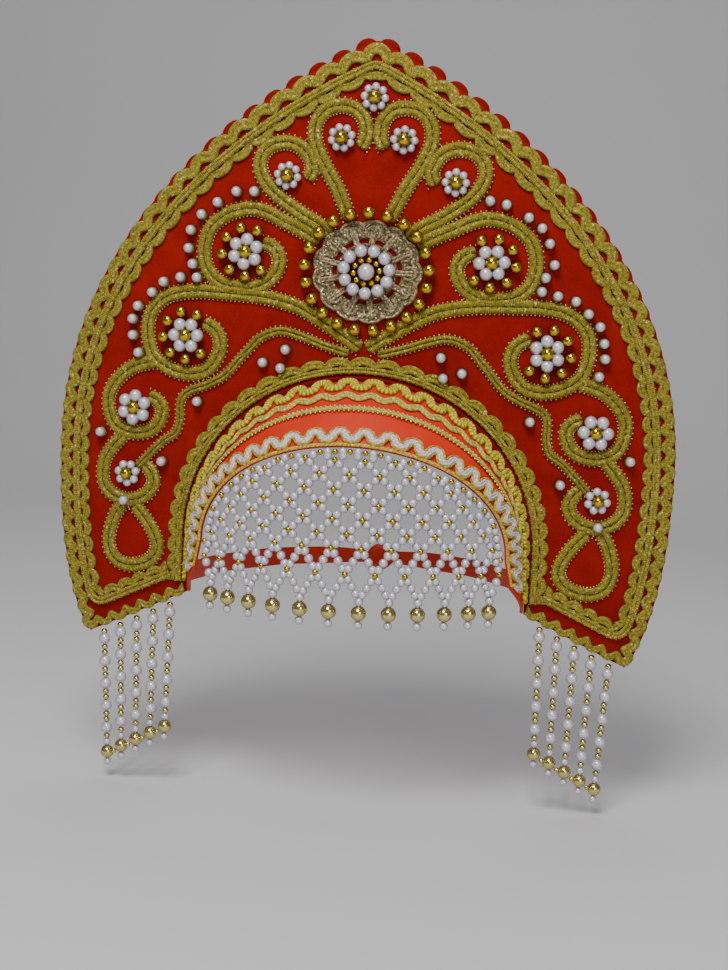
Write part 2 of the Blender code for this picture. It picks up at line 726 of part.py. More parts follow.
def ties(target):
    """The two red ribbons from the feet to a plain knot at the back of the head."""
    last = math.acos((KNOT_HALF_WIDTH + GAP) / (ARCH_HALF_WIDTH + TIE_FOOT))
    for side, sign in (("left", -1.0), ("right", 1.0)):
        bm = bmesh.new()
        grid = bmesh.ops.create_grid(bm, x_segments=16, y_segments=1, size=0.5)["verts"]
        for vert in grid:
            place = tie_point(last * (vert.co.x + 0.5), vert.co.y + 0.5)
            place.x *= sign
            vert.co = place - seat()
        ribbon = add_object(f"tie_ribbon_{side}", mesh_from(bm, f"tie_{side}"), "satin", target, smooth=True)
        solidify(ribbon, RIBBON_WALL, 0.0)
    bm = bmesh.new()
    bmesh.ops.create_uvsphere(bm, u_segments=12, v_segments=8, radius=1.0)
    centre = tie_point(math.pi / 2, 0.5) - seat()
    size = Vector((KNOT_HALF_WIDTH, KNOT_HALF_DEPTH, KNOT_HALF_HEIGHT))
    for vert in bm.verts:
        vert.co = vert.co * size + centre
    add_object("tie_knot", mesh_from(bm, "tie_knot"), "satin", target, smooth=True)


def build():
    clear_scene()
    target = collection("kokoshnik_headdress")
    cutters = collection("cutters")
    shield(target)
    red_edging(target)
    border_braids(target)
    scrolls(target)
    flowers(target)
    medallion(target)
    band(target)
    band_braids(target)
    net(target, cutters)
    pendants(target)
    ties(target)


build()
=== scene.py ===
"""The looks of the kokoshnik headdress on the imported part: felt, braids, pearls, lace, satin and net.

Lengths are in metres, the front faces -Y, and the origin is the crown of the band's inside, as in the part.
Pieces on the shield are drawn on its flat pattern (across, up) and laid on the bent board.
"""
import math
import random

import bmesh
import bpy
import numpy as np
from mathutils import Matrix, Vector


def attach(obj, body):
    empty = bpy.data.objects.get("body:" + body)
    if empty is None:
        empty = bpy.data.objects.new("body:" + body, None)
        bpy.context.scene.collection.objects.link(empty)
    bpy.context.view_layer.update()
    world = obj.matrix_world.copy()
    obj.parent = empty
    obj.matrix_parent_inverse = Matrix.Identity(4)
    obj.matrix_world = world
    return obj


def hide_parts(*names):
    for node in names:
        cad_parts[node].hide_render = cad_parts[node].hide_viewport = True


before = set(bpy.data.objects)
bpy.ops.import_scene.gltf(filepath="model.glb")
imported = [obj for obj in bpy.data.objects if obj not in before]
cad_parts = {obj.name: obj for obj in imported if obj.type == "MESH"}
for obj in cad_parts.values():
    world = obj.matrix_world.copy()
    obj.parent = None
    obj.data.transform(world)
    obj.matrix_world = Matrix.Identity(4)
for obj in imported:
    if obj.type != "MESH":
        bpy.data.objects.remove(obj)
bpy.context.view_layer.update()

# Sizes that the part has too
HALF_WIDTH = 0.155
RISE = 0.200
DROP = 0.096
LOWER_CORNER = 0.885
CORNER = Vector((LOWER_CORNER * HALF_WIDTH, -DROP))
WALL = 0.0024
BEND = 0.600
FOOT_DROP = 0.070
ARCH_HALF_WIDTH = 0.0845
ARCH_RISE = 0.082
ARCH_SPRING = -0.040
GAP = 0.0003
SIDE_GAP = 0.0004
WAVE_SWING = 0.0015
WAVE_INSET = 0.0041
GIMP_WIDTH = 0.0085
GIMP_INSET = 0.0126
GIMP_FOOT_RISE = 0.0160
ARCH_GIMP_WIDTH = 0.0070
ARCH_GIMP_START = 0.0020
BAND_WALL = 0.0016
BAND_DEPTH = 0.038
BAND_BULGE = 0.0020
BROW_HALF_WIDTH = 0.074
BROW_RISE = 0.053
BROW_SWEEP = 0.026
BROW_FOOT_DROP = 0.015
BROW_FOOT_FLARE = 0.003
BAND_TURN = 0.86
JUNCTION_PLACE = 0.0052
JUNCTION_ZONE = 0.0100
BAND_WAVE_PLACE = 0.0150
CORD_PLACE = 0.0255
SCROLL_WIDTH = 0.0066
THIN_WIDTH = 0.0040
SMALL_FLOWER = 0.0068
LARGE_FLOWER = 0.0090
MEDALLION_HEIGHT = 0.0925
LACE_RADIUS = 0.0270
NET_STEP = 0.0065
NET_ROW = 0.0069
NET_LONG_ROW = 0.0120
NET_COLUMNS = 12
NET_ROWS_ABOVE = 8
NET_BASE = 0.005
NET_CLEARANCE = 0.0026
NET_CUT = 0.0035
NET_WRAP = 1.0
PENDANT_COUNT = 5
PENDANT_MARGIN = 0.16
PENDANT_LENGTH = 0.077
RIBBON_WIDTH = 0.010
TIE_DEPTH = 0.148
TIE_DIP = 0.010
TIE_FOOT = 0.0060
TIE_RAISE = 0.001
KNOT_HALF_WIDTH = 0.0085

# Sizes that only this script has
BAND_WAVE_SWING = 0.0015
MEDALLION_TALL = 0.93
PETALS = 13
BEAD_LIFT = 0.0003
CUP_RADIUS = 0.0030
CUP_LIFT = 0.0008
SINGLE_RADIUS = 0.0024
SINGLE_LIFT = 0.0031
SINGLE_SCATTER = 0.0008
RING_COUNT = 21
RING_HALF_WIDTH = 0.0296
RING_HALF_HEIGHT = 0.0279
RING_BEAD = 0.0031
RING_RAISE = 0.0018
FLOWER_BEAD = 0.0028
FLOWER_BEADS = 7
FLOWER_BEAD_REACH = 0.0026
NET_PEARL = 0.00215
NET_SEED = 0.0014
TIE_WALL = 0.0008
TAPE_STEP = 0.0004
RIDGE_EDGE = 0.4
EASE_REACH = 0.020
FOOT_LOWER = 0.0010
STRING_PEARLS = 5
FIRST_SEED = 0.0016
SEED_FLAT = 0.85
LEAN = 0.0012
LINK_BEAD = 0.0013
PICOT_LOOP = 0.00042
STITCH_PITCH = 0.0036
WAVE_SCALE = 0.314

# Flowers on the right half: shares of the half width and of the rise, radius, pearls,
# and whether gold beads surround it
FLOWERS = {
    "top": (0.0, 0.869, SMALL_FLOWER, 8, False),
    "heart": (0.095, 0.773, SMALL_FLOWER, 8, False),
    "side": (0.257, 0.680, SMALL_FLOWER, 8, False),
    "shoulder": (0.379, 0.497, LARGE_FLOWER, 6, True),
    "wing": (0.564, 0.289, LARGE_FLOWER, 6, True),
    "lower": (0.731, 0.104, LARGE_FLOWER, 6, False),
    "small": (0.752, -0.062, SMALL_FLOWER, 7, False),
}
# Middle lines of the scroll braids on the right half, as shares of the half width and the rise
SCROLLS = {
    "heart": (
        (0.059, 0.585), (0.081, 0.619), (0.105, 0.659), (0.141, 0.703), (0.170, 0.747), (0.180, 0.778),
        (0.173, 0.813), (0.143, 0.839), (0.100, 0.848), (0.060, 0.842), (0.032, 0.822), (0.022, 0.797),
        (0.024, 0.773), (0.038, 0.751),
    ),
    "side": (
        (0.118, 0.547), (0.161, 0.572), (0.209, 0.592), (0.258, 0.616), (0.301, 0.641), (0.331, 0.668),
        (0.347, 0.698), (0.341, 0.727), (0.317, 0.748), (0.281, 0.758), (0.243, 0.756), (0.210, 0.742),
        (0.189, 0.718), (0.183, 0.695), (0.196, 0.672),
    ),
    "shoulder": (
        (0.151, 0.530), (0.210, 0.554), (0.265, 0.573), (0.313, 0.591), (0.362, 0.600), (0.410, 0.595),
        (0.457, 0.579), (0.498, 0.551), (0.515, 0.515), (0.516, 0.479), (0.498, 0.444), (0.458, 0.419),
        (0.383, 0.409), (0.329, 0.419), (0.291, 0.442), (0.274, 0.473), (0.281, 0.499), (0.305, 0.515),
        (0.331, 0.519),
    ),
    "wing": (
        (0.010, 0.279), (0.050, 0.300), (0.125, 0.337), (0.205, 0.370), (0.286, 0.387), (0.366, 0.394),
        (0.447, 0.396), (0.529, 0.397), (0.606, 0.389), (0.659, 0.368), (0.692, 0.333), (0.698, 0.296),
        (0.691, 0.261), (0.668, 0.227), (0.611, 0.202), (0.549, 0.195), (0.497, 0.207), (0.464, 0.239),
        (0.454, 0.275), (0.473, 0.306), (0.513, 0.323),
    ),
    "lower": (
        (0.668, 0.221), (0.738, 0.206), (0.782, 0.183), (0.815, 0.153), (0.829, 0.119), (0.821, 0.080),
        (0.796, 0.053), (0.747, 0.040), (0.701, 0.043), (0.663, 0.058), (0.643, 0.086), (0.643, 0.109),
        (0.662, 0.126), (0.690, 0.134),
    ),
    "small": (
        (0.769, 0.036), (0.811, 0.000), (0.836, -0.031), (0.843, -0.063), (0.839, -0.091), (0.814, -0.116),
        (0.763, -0.130), (0.714, -0.124), (0.680, -0.106), (0.663, -0.079), (0.674, -0.054), (0.698, -0.037),
    ),
    "thin": (
        (0.045, 0.266), (0.121, 0.282), (0.202, 0.303), (0.263, 0.312), (0.323, 0.295), (0.359, 0.266),
        (0.389, 0.240), (0.419, 0.211), (0.449, 0.190), (0.497, 0.170), (0.546, 0.155), (0.574, 0.138),
        (0.582, 0.115), (0.581, 0.081), (0.595, 0.047), (0.632, 0.027), (0.667, 0.001), (0.705, -0.030),
        (0.724, -0.045),
    ),
    "tear": (
        (0.770, -0.139), (0.798, -0.175), (0.815, -0.221), (0.814, -0.252), (0.796, -0.280), (0.757, -0.294),
        (0.711, -0.292), (0.668, -0.276), (0.645, -0.249), (0.652, -0.218), (0.683, -0.179), (0.728, -0.141),
    ),
}

# Single pearls on the right half, as shares of the half width and the rise
SINGLE_PEARLS = (
    (0.361, 0.638), (0.419, 0.635), (0.480, 0.610), (0.526, 0.583), (0.555, 0.545), (0.568, 0.502),
    (0.552, 0.465), (0.532, 0.432), (0.587, 0.425), (0.642, 0.412), (0.687, 0.390), (0.726, 0.357),
    (0.742, 0.320), (0.748, 0.282), (0.726, 0.243), (0.245, 0.265), (0.255, 0.222), (0.310, 0.230),
    (0.526, 0.125), (0.635, -0.028), (0.852, 0.033), (0.757, -0.130),
)

# Beads of the strings: radii, the pearls' pitch, the first one's distance below the foot, the seeds' place
# below a pearl
STRING_PEARL = 0.00295
STRING_SEED = 0.0017
STRING_PITCH = 0.0117
FIRST_PEARL = 0.0053
SEED_PLACES = (0.0044, 0.0073)

# Pitches of the braids' waves at the crown and low on the sides, and the shares of the way between which
# they change
BORDER_PITCHES = (0.0125, 0.0086)
ARCH_PITCHES = (0.0122, 0.0092)
BAND_PITCHES = (0.0115, 0.0088)
PITCH_HOLD = 0.25
PITCH_FALL = 0.65


# Flat geometry

def bezier(a, b, c, d, count):
    points = []
    for step in range(count):
        t = step / count
        points.append(a * (1 - t) ** 3 + b * 3 * t * (1 - t) ** 2 + c * 3 * t * t * (1 - t) + d * t ** 3)
    return points


def through(points, count=12):
    ends = [points[0] * 2 - points[1]] + points + [points[-1] * 2 - points[-2]]
    run = []
    for p, q, r, s in zip(ends, ends[1:], ends[2:], ends[3:]):
        run += bezier(q, q + (r - p) / 6, r - (s - q) / 6, r, count)
    return run + [points[-1]]


def resample(line, step):
    """The line with its points at equal distances, about a step apart."""
    lengths = [0.0]
    for a, b in zip(line, line[1:]):
        lengths.append(lengths[-1] + (b - a).length)
    count = max(2, round(lengths[-1] / step))
    result = []
    index = 0
    for number in range(count + 1):
        goal = lengths[-1] * number / count
        while index < len(line) - 2 and lengths[index + 1] < goal:
            index += 1
        span = lengths[index + 1] - lengths[index]
        result.append(line[index].lerp(line[index + 1], (goal - lengths[index]) / span))
    return result


def side_of(points, index, closed=False):
    last = len(points) - 1
    before = points[index - 1] if index or closed else points[0]
    after = points[(index + 1) % len(points)] if index < last or closed else points[last]
    travel = (after - before).normalized()
    return Vector((travel.y, -travel.x))


def shifted(points, distance):
    result = []
    for index, point in enumerate(points):
        side = side_of(points, index)
        if 0 < index < len(points) - 1:
            travel = (points[index + 1] - point).normalized()
            side = side / max(0.5, side.dot(Vector((travel.y, -travel.x))))
        result.append(point + side * distance)
    return result


def rounded(points, passes):
    """The line with its corners softened and its ends held."""
    for _ in range(passes):
        middle = [(a + b * 2 + c) / 4 for a, b, c in zip(points, points[1:], points[2:])]
        points = [points[0]] + middle + [points[-1]]
    return points


def eased(points, passes):
    """The line with its bend softened near the lower corners alone."""
    soft = rounded(points, passes)
    aways = [(Vector((abs(point.x), point.y)) - CORNER).length for point in points]
    shares = [max(0.0, 1 - away / EASE_REACH) for away in aways]
    return [point.lerp(other, share) for point, other, share in zip(points, soft, shares)]


def wave_pitch(share, pitches):
    fall = min(1.0, max(0.0, (share - PITCH_HOLD) / (PITCH_FALL - PITCH_HOLD)))
    return pitches[0] + (pitches[1] - pitches[0]) * fall


def wave_turns(distance, end, pitches):
    """Turns of a braid's wave from the crown to a distance; a turn ends at the end."""
    crown, low = pitches
    change = (low - crown) / (PITCH_FALL - PITCH_HOLD)

    def turns(share):
        held = min(share, PITCH_HOLD) / crown
        falling = math.log(wave_pitch(share, pitches) / crown) / change
        return end * (held + falling + max(0.0, share - PITCH_FALL) / low)

    return turns(distance / end) * round(turns(1.0)) / turns(1.0)


def length_of(points):
    return sum((b - a).length for a, b in zip(points, points[1:]))


def length_to(points, place):
    """The distance along the line to its point nearest to a place."""
    nearest = min(range(len(points)), key=lambda index: (points[index] - place).length)
    return length_of(points[:nearest + 1])


def both_sides(right):
    return list(reversed(mirrored(right)))[:-1] + right


def field(share):
    return Vector((share[0] * HALF_WIDTH, share[1] * RISE))


def mirrored(points):
    return [Vector((-point.x, point.y)) for point in points]


def right_outline(fine):
    rise = [field(share) for share in ((0, 1), (0.50, 0.827), (1, 0.475), (1, 0))]
    low = ((1, 0), (1, 0.42), (0.974, 0.75), (LOWER_CORNER, 1))
    fall = [Vector((x * HALF_WIDTH, -y * DROP)) for x, y in low]
    return bezier(*rise, 12 * fine) + bezier(*fall, 5 * fine) + [fall[-1]]


def foot_height(across):
    share = (abs(across) - ARCH_HALF_WIDTH) / (CORNER.x - ARCH_HALF_WIDTH)
    return -FOOT_DROP + share * (CORNER.y + FOOT_DROP)


def border(fine):
    return both_sides(right_outline(fine) + [Vector((ARCH_HALF_WIDTH, -FOOT_DROP))])


def arch(offset, foot, sections):
    half = ARCH_HALF_WIDTH + offset
    right = []
    for step in range(sections + 1):
        angle = math.pi / 2 * (1 - step / sections)
        right.append(Vector((half * math.cos(angle), ARCH_SPRING + (ARCH_RISE + offset) * math.sin(angle))))
    right.append(Vector((half, foot)))
    return both_sides(right)


def gimp_route():
    inner = ARCH_HALF_WIDTH + ARCH_GIMP_START + ARCH_GIMP_WIDTH + SIDE_GAP
    side = shifted(border(4), GIMP_INSET)
    right = [point for point in side if point.x >= 0 and point.y > foot_height(point.x) + GIMP_FOOT_RISE]
    right = [point for point in right if point.y > -DROP or point.x > ARCH_HALF_WIDTH]
    corner = right[-1].x - GIMP_WIDTH / 4
    for share in (0.0, 0.5, 1.0):
        across = corner + (inner - corner) * share
        right.append(Vector((across, foot_height(across) + GIMP_FOOT_RISE)))
    return both_sides(right)


# Surfaces, as in the part

def bent(across, up, lift):
    angle = across / BEND
    radius = BEND + lift
    return Vector((radius * math.sin(angle), BEND - radius * math.cos(angle), up))


def brow_depth(across):
    return -BAND_DEPTH + BROW_SWEEP * (across / BROW_HALF_WIDTH) ** 2


def edge_point(share, half, rise, foot, flare):
    part = abs(share)
    if part <= BAND_TURN:
        angle = math.pi / 2 * (1 - part / BAND_TURN)
        across, up = half * math.cos(angle), ARCH_SPRING + rise * math.sin(angle)
    else:
        fall = (part - BAND_TURN) / (1 - BAND_TURN)
        across, up = half + flare * fall, ARCH_SPRING - foot * fall
    return math.copysign(across, share), up


def brow_point(share):
    across, up = edge_point(share, BROW_HALF_WIDTH, BROW_RISE, BROW_FOOT_DROP, BROW_FOOT_FLARE)
    return Vector((across, brow_depth(across), up))


def rear_point(share):
    inside = GAP + BAND_WALL / 2
    across, up = edge_point(share, ARCH_HALF_WIDTH - inside, ARCH_RISE - inside, FOOT_DROP + ARCH_SPRING, 0.0)
    return bent(across, up, -WALL)


SEAT = (rear_point(0.0) + brow_point(0.0)) / 2 + Vector((0.0, 0.0, BAND_BULGE - BAND_WALL))
BAND_WIDTH = (brow_point(0.0) - rear_point(0.0)).length


def on_shield(across, up, lift):
    return bent(across, up, lift) - SEAT


def band_surface(share, depth_share):
    rear = rear_point(share)
    out = Vector((rear.x, 0.0, rear.z - ARCH_SPRING)).normalized()
    bulge = BAND_BULGE * 4 * depth_share * (1 - depth_share)
    return rear.lerp(brow_point(share), depth_share) + out * bulge


BAND_HALF = length_of([band_surface(step / 40, 0.5) for step in range(41)])


def on_band(along, depth, lift):
    """A place on the band, measured from the board."""
    share = max(-1.0, min(1.0, along / BAND_HALF))
    width = (brow_point(share) - rear_point(share)).length
    spare = (width - JUNCTION_ZONE) / (BAND_WIDTH - JUNCTION_ZONE)
    place = (depth if depth < JUNCTION_ZONE else JUNCTION_ZONE + (depth - JUNCTION_ZONE) * spare) / width
    return band_place(share, place, lift)


def on_brow(along, inset, lift):
    """A place on the band, measured from its brow edge."""
    share = max(-1.0, min(1.0, along / BAND_HALF))
    return band_place(share, 1 - inset / (brow_point(share) - rear_point(share)).length, lift)


def band_place(share, place, lift):
    step = 0.002
    point = band_surface(share, place)
    across = band_surface(min(1.0, share + step), place) - band_surface(max(-1.0, share - step), place)
    forward = band_surface(share, place + step) - band_surface(share, place - step)
    normal = across.cross(forward).normalized()
    normal = -normal if normal.dot(Vector((point.x, 0.0, point.z - ARCH_SPRING))) < 0 else normal
    return point + normal * (BAND_WALL / 2 + lift) - SEAT


def net_share(along):
    return math.sin(NET_WRAP * along / (NET_STEP * NET_COLUMNS)) / math.sin(NET_WRAP)


def net_crown(along):
    share = net_share(along)
    return ARCH_SPRING + (BROW_RISE - NET_CLEARANCE) * math.sqrt(max(0.0, 1 - share ** 2))


def on_net(along, up, lift=0.0):
    across = net_share(along) * (BROW_HALF_WIDTH - NET_CLEARANCE)
    return Vector((across, brow_depth(across) - lift, up)) - SEAT


def knot(column, row):
    up = ARCH_SPRING + NET_BASE + (NET_ROW if row > 0 else NET_LONG_ROW) * row
    along = column * NET_STEP
    return on_net(along, min(up, net_crown(along)))


# Materials

class Look:
    """A Principled material, and short ways to add shader nodes to it."""

    def __init__(self, name, colour, roughness, metallic=0.0, **settings):
        self.material = bpy.data.materials.new(name)
        self.material.use_nodes = True
        self.tree = self.material.node_tree
        self.shader = self.tree.nodes["Principled BSDF"]
        self.normal = None
        self.set(self.shader, Base_Color=(*colour, 1.0), Roughness=roughness, Metallic=metallic, **settings)

    def feed(self, socket, value):
        """Links a socket to another node's output, or sets its value."""
        if isinstance(value, bpy.types.NodeSocket):
            self.tree.links.new(value, socket)
        else:
            socket.default_value = value

    def set(self, node, **inputs):
        for key, value in inputs.items():
            self.feed(node.inputs[key.replace("_", " ")], value)

    def add(self, kind, **inputs):
        made = self.tree.nodes.new("ShaderNode" + kind)
        self.set(made, **inputs)
        return made

    def place(self, space="Object"):
        return self.add("TexCoord").outputs[space]

    def noise(self, scale, detail, roughness=0.5):
        made = self.add("TexNoise", Vector=self.place(), Scale=scale, Detail=detail, Roughness=roughness)
        return made.outputs["Fac"]

    def wave(self, pitch, distortion, along, detail_scale=1.0):
        """Bands over the piece's UV map, which is in metres."""
        made = self.add("TexWave", Vector=self.place("UV"), Scale=WAVE_SCALE / pitch, Distortion=distortion,
                        Detail=2.0, Detail_Scale=detail_scale)
        made.bands_direction = along
        return made.outputs["Fac"]

    def facing(self, blend):
        return self.add("LayerWeight", Blend=blend).outputs["Facing"]

    def maths(self, operation, *values):
        made = self.add("Math")
        made.operation = operation
        for socket, value in zip(made.inputs, values):
            self.feed(socket, value)
        return made.outputs[0]

    def spread(self, value, low, high, to_low=0.0, to_high=1.0):
        """The value, taken from one range to another."""
        made = self.add("MapRange", Value=value, From_Min=low, From_Max=high, To_Min=to_low, To_Max=to_high)
        return made.outputs["Result"]

    def ramp(self, factor, low, high, start=0.0, stop=1.0):
        """A colour that runs from low to high with the factor."""
        made = self.add("ValToRGB", Fac=factor)
        for element, place, colour in zip(made.color_ramp.elements, (start, stop), (low, high)):
            element.position = place
            element.color = (*colour, 1.0)
        return made.outputs["Color"]

    def over(self, factor, base, top):
        """The base colour, turned to the top one by the factor."""
        made = self.add("Mix")
        made.data_type = "RGBA"
        for index, value in ((0, factor), (6, base), (7, (*top, 1.0))):
            self.feed(made.inputs[index], value)
        return made.outputs[2]

    def colour(self, *ramp):
        self.set(self.shader, Base_Color=self.ramp(*ramp))

    def bump(self, height, strength, distance):
        """A bump on top of those that the material has."""
        below = {"Normal": self.normal} if self.normal else {}
        made = self.add("Bump", Height=height, Strength=strength, Distance=distance, **below)
        self.normal = made.outputs["Normal"]
        self.set(self.shader, Normal=self.normal)


def felt():
    look = Look("felt", (0.27, 0.006, 0.001), 0.95, Sheen_Weight=0.06, Sheen_Roughness=0.6,
                Sheen_Tint=(1.0, 0.25, 0.15, 1.0), Specular_IOR_Level=0.05)
    fuzz = look.noise(1500.0, 6.0, 0.7)
    tone = look.maths("MULTIPLY", look.maths("ADD", look.noise(55.0, 5.0, 0.65), fuzz), 0.5)
    look.colour(tone, (0.215, 0.0042, 0.0006), (0.325, 0.0085, 0.0013), 0.38, 0.62)
    look.bump(fuzz, 0.5, 0.0004)
    return look.material


def red_cord():
    look = Look("red_cord", (0.24, 0.005, 0.001), 0.8, Sheen_Weight=0.02, Sheen_Roughness=0.5,
                Specular_IOR_Level=0.1)
    fibre = look.noise(1300.0, 4.0)
    look.colour(fibre, (0.15, 0.0024, 0.0004), (0.27, 0.0065, 0.0012))
    look.bump(fibre, 0.3, 0.0002)
    return look.material


def satin():
    look = Look("satin", (0.52, 0.018, 0.006), 0.45, Sheen_Weight=0.30, Sheen_Roughness=0.4,
                Sheen_Tint=(1.0, 0.22, 0.10, 1.0), Specular_IOR_Level=0.25)
    sheen_paint_and_ripple = look.noise(38.0, 3.0)
    # Painted sheen: the colour turns brighter and more orange in broad patches of this noise, which also
    # ripples the surface
    look.colour(sheen_paint_and_ripple, (0.50, 0.016, 0.004), (0.74, 0.042, 0.010))
    look.bump(sheen_paint_and_ripple, 0.25, 0.0012)
    look.bump(look.noise(2600.0, 2.0), 0.25, 0.0001)
    return look.material


def lurex(name, dark, light, painted_glint, ribs=0.0011, metallic=0.45, sparkle=0.86, groove=0.0, along="DIAGONAL",
          depth=0.4):
    """Woven metallic yarn: threads, fuzz, foil cells painted in a bright glint colour and made glossier, and
    perhaps a stitched groove.

    The pitch of its threads is ribs, and groove is half the width of the dark middle line.
    """
    look = Look(name, light, 0.55, metallic, Sheen_Weight=0.1, Sheen_Roughness=0.5)
    threads = look.wave(ribs, 2.5, along, 2.0)
    fibre = look.noise(850.0, 6.0, 0.8)
    cells = look.add("TexVoronoi", Vector=look.place(), Scale=1500.0)
    blend = look.add("Mix", Factor=depth, A=fibre, B=threads)
    body = look.ramp(blend.outputs["Result"], dark, light, 0.42, 0.59)
    pick = look.add("SeparateColor", Color=cells.outputs["Color"])
    # Painted highlight: the chosen foil cells take the bright glint colour whatever the light, and are
    # glossier too
    glint_paint_and_gloss = look.spread(pick.outputs["Red"], sparkle, min(1.0, sparkle + 0.08))
    colour = look.over(glint_paint_and_gloss, body, painted_glint)
    if groove:
        place = look.add("SeparateXYZ", Vector=look.place("UV"))
        near = look.spread(look.maths("ABSOLUTE", place.outputs["Y"]), groove * 1.6, groove * 0.5)
        dash = look.spread(look.wave(STITCH_PITCH, 3.0, "X"), 0.25, 0.60, 0.35)
        colour = look.over(look.maths("MULTIPLY", near, dash), colour, tuple(value * 0.25 for value in dark))
    look.set(look.shader, Base_Color=colour, Roughness=look.spread(glint_paint_and_gloss, 0.0, 1.0, 0.60, 0.25))
    look.bump(threads, 0.9 * depth, 0.0003)
    look.bump(fibre, 0.9, 0.0005)
    look.bump(cells.outputs["Distance"], 0.35, 0.0004)
    return look.material


def pearl(name, rim):
    """Lustrous pearl: its colour turns to the rim's where it faces away, a painted shade at its silhouette.
    """
    look = Look(name, (0.60, 0.58, 0.62), 0.30, 0.1, Coat_Weight=1.0, Coat_Roughness=0.12, Coat_IOR=2.3)
    # Painted shade: pale in the middle and the dark rim colour at the silhouette, whatever the light
    look.colour(look.facing(0.48), (0.68, 0.66, 0.71), rim)
    look.bump(look.noise(700.0, 2.0), 0.05, 0.0002)
    return look.material


def gold_bead(name, colour, roughness=0.15):
    look = Look(name, colour, roughness, 1.0)
    # Painted shade: the colour falls to 0.16 of itself towards the silhouette, where the bead turns from the
    # view
    look.colour(look.facing(0.45), colour, tuple(value * 0.16 for value in colour))
    look.bump(look.noise(900.0, 3.0), 0.15, 0.0002)
    return look.material


def stage_paint():
    look = Look("stage_paint", (0.62, 0.62, 0.63), 0.85)
    cloud = look.add("TexNoise", Scale=6.0, Detail=3.0)
    look.colour(cloud.outputs["Fac"], (0.60, 0.60, 0.61), (0.64, 0.64, 0.65))
    return look.material


FELT = felt()
RED_CORD = red_cord()
SATIN = satin()
# Yarn colours: dark and light threads, then the bright glint colour painted on the foil cells
BRAID_COLOURS = (0.12, 0.090, 0.001), (0.42, 0.35, 0.014), (0.95, 0.70, 0.20)
BRAID = lurex("gold_braid", *BRAID_COLOURS, 0.0009, groove=0.0003, along="X", depth=0.1, sparkle=0.93)
THIN_BRAID = lurex("thin_braid", *BRAID_COLOURS, 0.0009, groove=0.0002, along="X", depth=0.1, sparkle=0.93)
SCALLOP = lurex("scallop_yarn", (0.14, 0.10, 0.002), (0.45, 0.38, 0.022), (0.90, 0.68, 0.24), 0.0009,
                sparkle=0.94, along="X", depth=0.06)
GIMP_CORD = lurex("gimp_cord", (0.11, 0.08, 0.001), (0.52, 0.43, 0.03), (0.95, 0.72, 0.25), 0.0009,
                  sparkle=0.92, along="X", depth=0.1)
BAND_YARN = lurex("band_yarn", (0.34, 0.29, 0.03), (0.72, 0.64, 0.12), (1.0, 0.88, 0.50), metallic=0.2,
                  sparkle=0.95, depth=0.15)
BRIGHT = lurex("bright_yarn", (0.34, 0.27, 0.002), (0.82, 0.72, 0.02), (1.0, 0.90, 0.35), 0.0013,
               metallic=0.2, sparkle=0.97, along="X", depth=0.6)
EDGE_GOLD = lurex("edge_gold", (0.40, 0.22, 0.01), (0.80, 0.56, 0.06), (1.0, 0.85, 0.40), metallic=0.2,
                  sparkle=0.95, depth=0.15)
PALE = lurex("pale_yarn", (0.50, 0.44, 0.48), (0.88, 0.83, 0.88), (0.95, 0.85, 0.50), metallic=0.0,
             sparkle=0.98, depth=0.15)
OLD_GOLD = lurex("old_gold", (0.035, 0.022, 0.006), (0.30, 0.225, 0.085), (1.0, 0.85, 0.58), metallic=0.35,
                 sparkle=0.88, depth=0.05)
LACE_CORD = lurex("lace_cord", (0.10, 0.065, 0.022), (0.52, 0.42, 0.21), (1.0, 0.88, 0.66), metallic=0.35,
                  sparkle=0.86, depth=0.05)
PICOT = gold_bead("picot", (1.0, 0.80, 0.34), 0.3)
# The pearl's rim colour is painted shade at its silhouette
PEARL = pearl("pearl", (0.20, 0.18, 0.27))
CUP = gold_bead("pearl_cup", (0.62, 0.50, 0.22), 0.35)
GOLD = gold_bead("gold_bead", (0.74, 0.50, 0.03))
PALE_GOLD = gold_bead("pale_gold", (0.84, 0.70, 0.25))


# Pieces

def placed(name, data):
    obj = bpy.data.objects.new(name, data)
    bpy.context.scene.collection.objects.link(obj)
    return obj


def unit(angle):
    return Vector((math.cos(angle), math.sin(angle)))


def quads(columns, rows):
    """Faces of a grid whose points are listed column by column."""
    corners = [column * (rows + 1) + row for column in range(columns) for row in range(rows)]
    return [(a, a + 1, a + rows + 2, a + rows + 1) for a in corners]


def joined(width, here, there):
    """Faces between two equal rings of points."""
    return [(here + k, here + (k + 1) % width, there + (k + 1) % width, there + k) for k in range(width)]


class Build:
    """Collects vertices, faces, material numbers and UVs of one piece."""

    def __init__(self, *materials):
        self.materials = materials
        self.points = []
        self.faces = []
        self.looks = []
        self.uvs = []

    def add(self, points, faces, look=0, uvs=None):
        base = len(self.points)
        self.points += [tuple(point) for point in points]
        self.faces += [tuple(base + index for index in face) for face in faces]
        self.looks += [look] * len(faces)
        for face in faces:
            self.uvs += [uvs[index] if uvs else (0.0, 0.0) for index in face]

    def finish(self, name, replaced=()):
        mesh = bpy.data.meshes.new(name)
        mesh.from_pydata(self.points, [], self.faces)
        mesh.polygons.foreach_set("material_index", self.looks)
        mesh.polygons.foreach_set("use_smooth", [True] * len(self.faces))
        layer = mesh.uv_layers.new(name="UVMap")
        layer.data.foreach_set("uv", [value for pair in self.uvs for value in pair])
        for look in self.materials:
            mesh.materials.append(look)
        obj = placed(name, mesh)
        mesh.update()
        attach(obj, "root")
        if replaced:
            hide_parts(*replaced)
        return obj


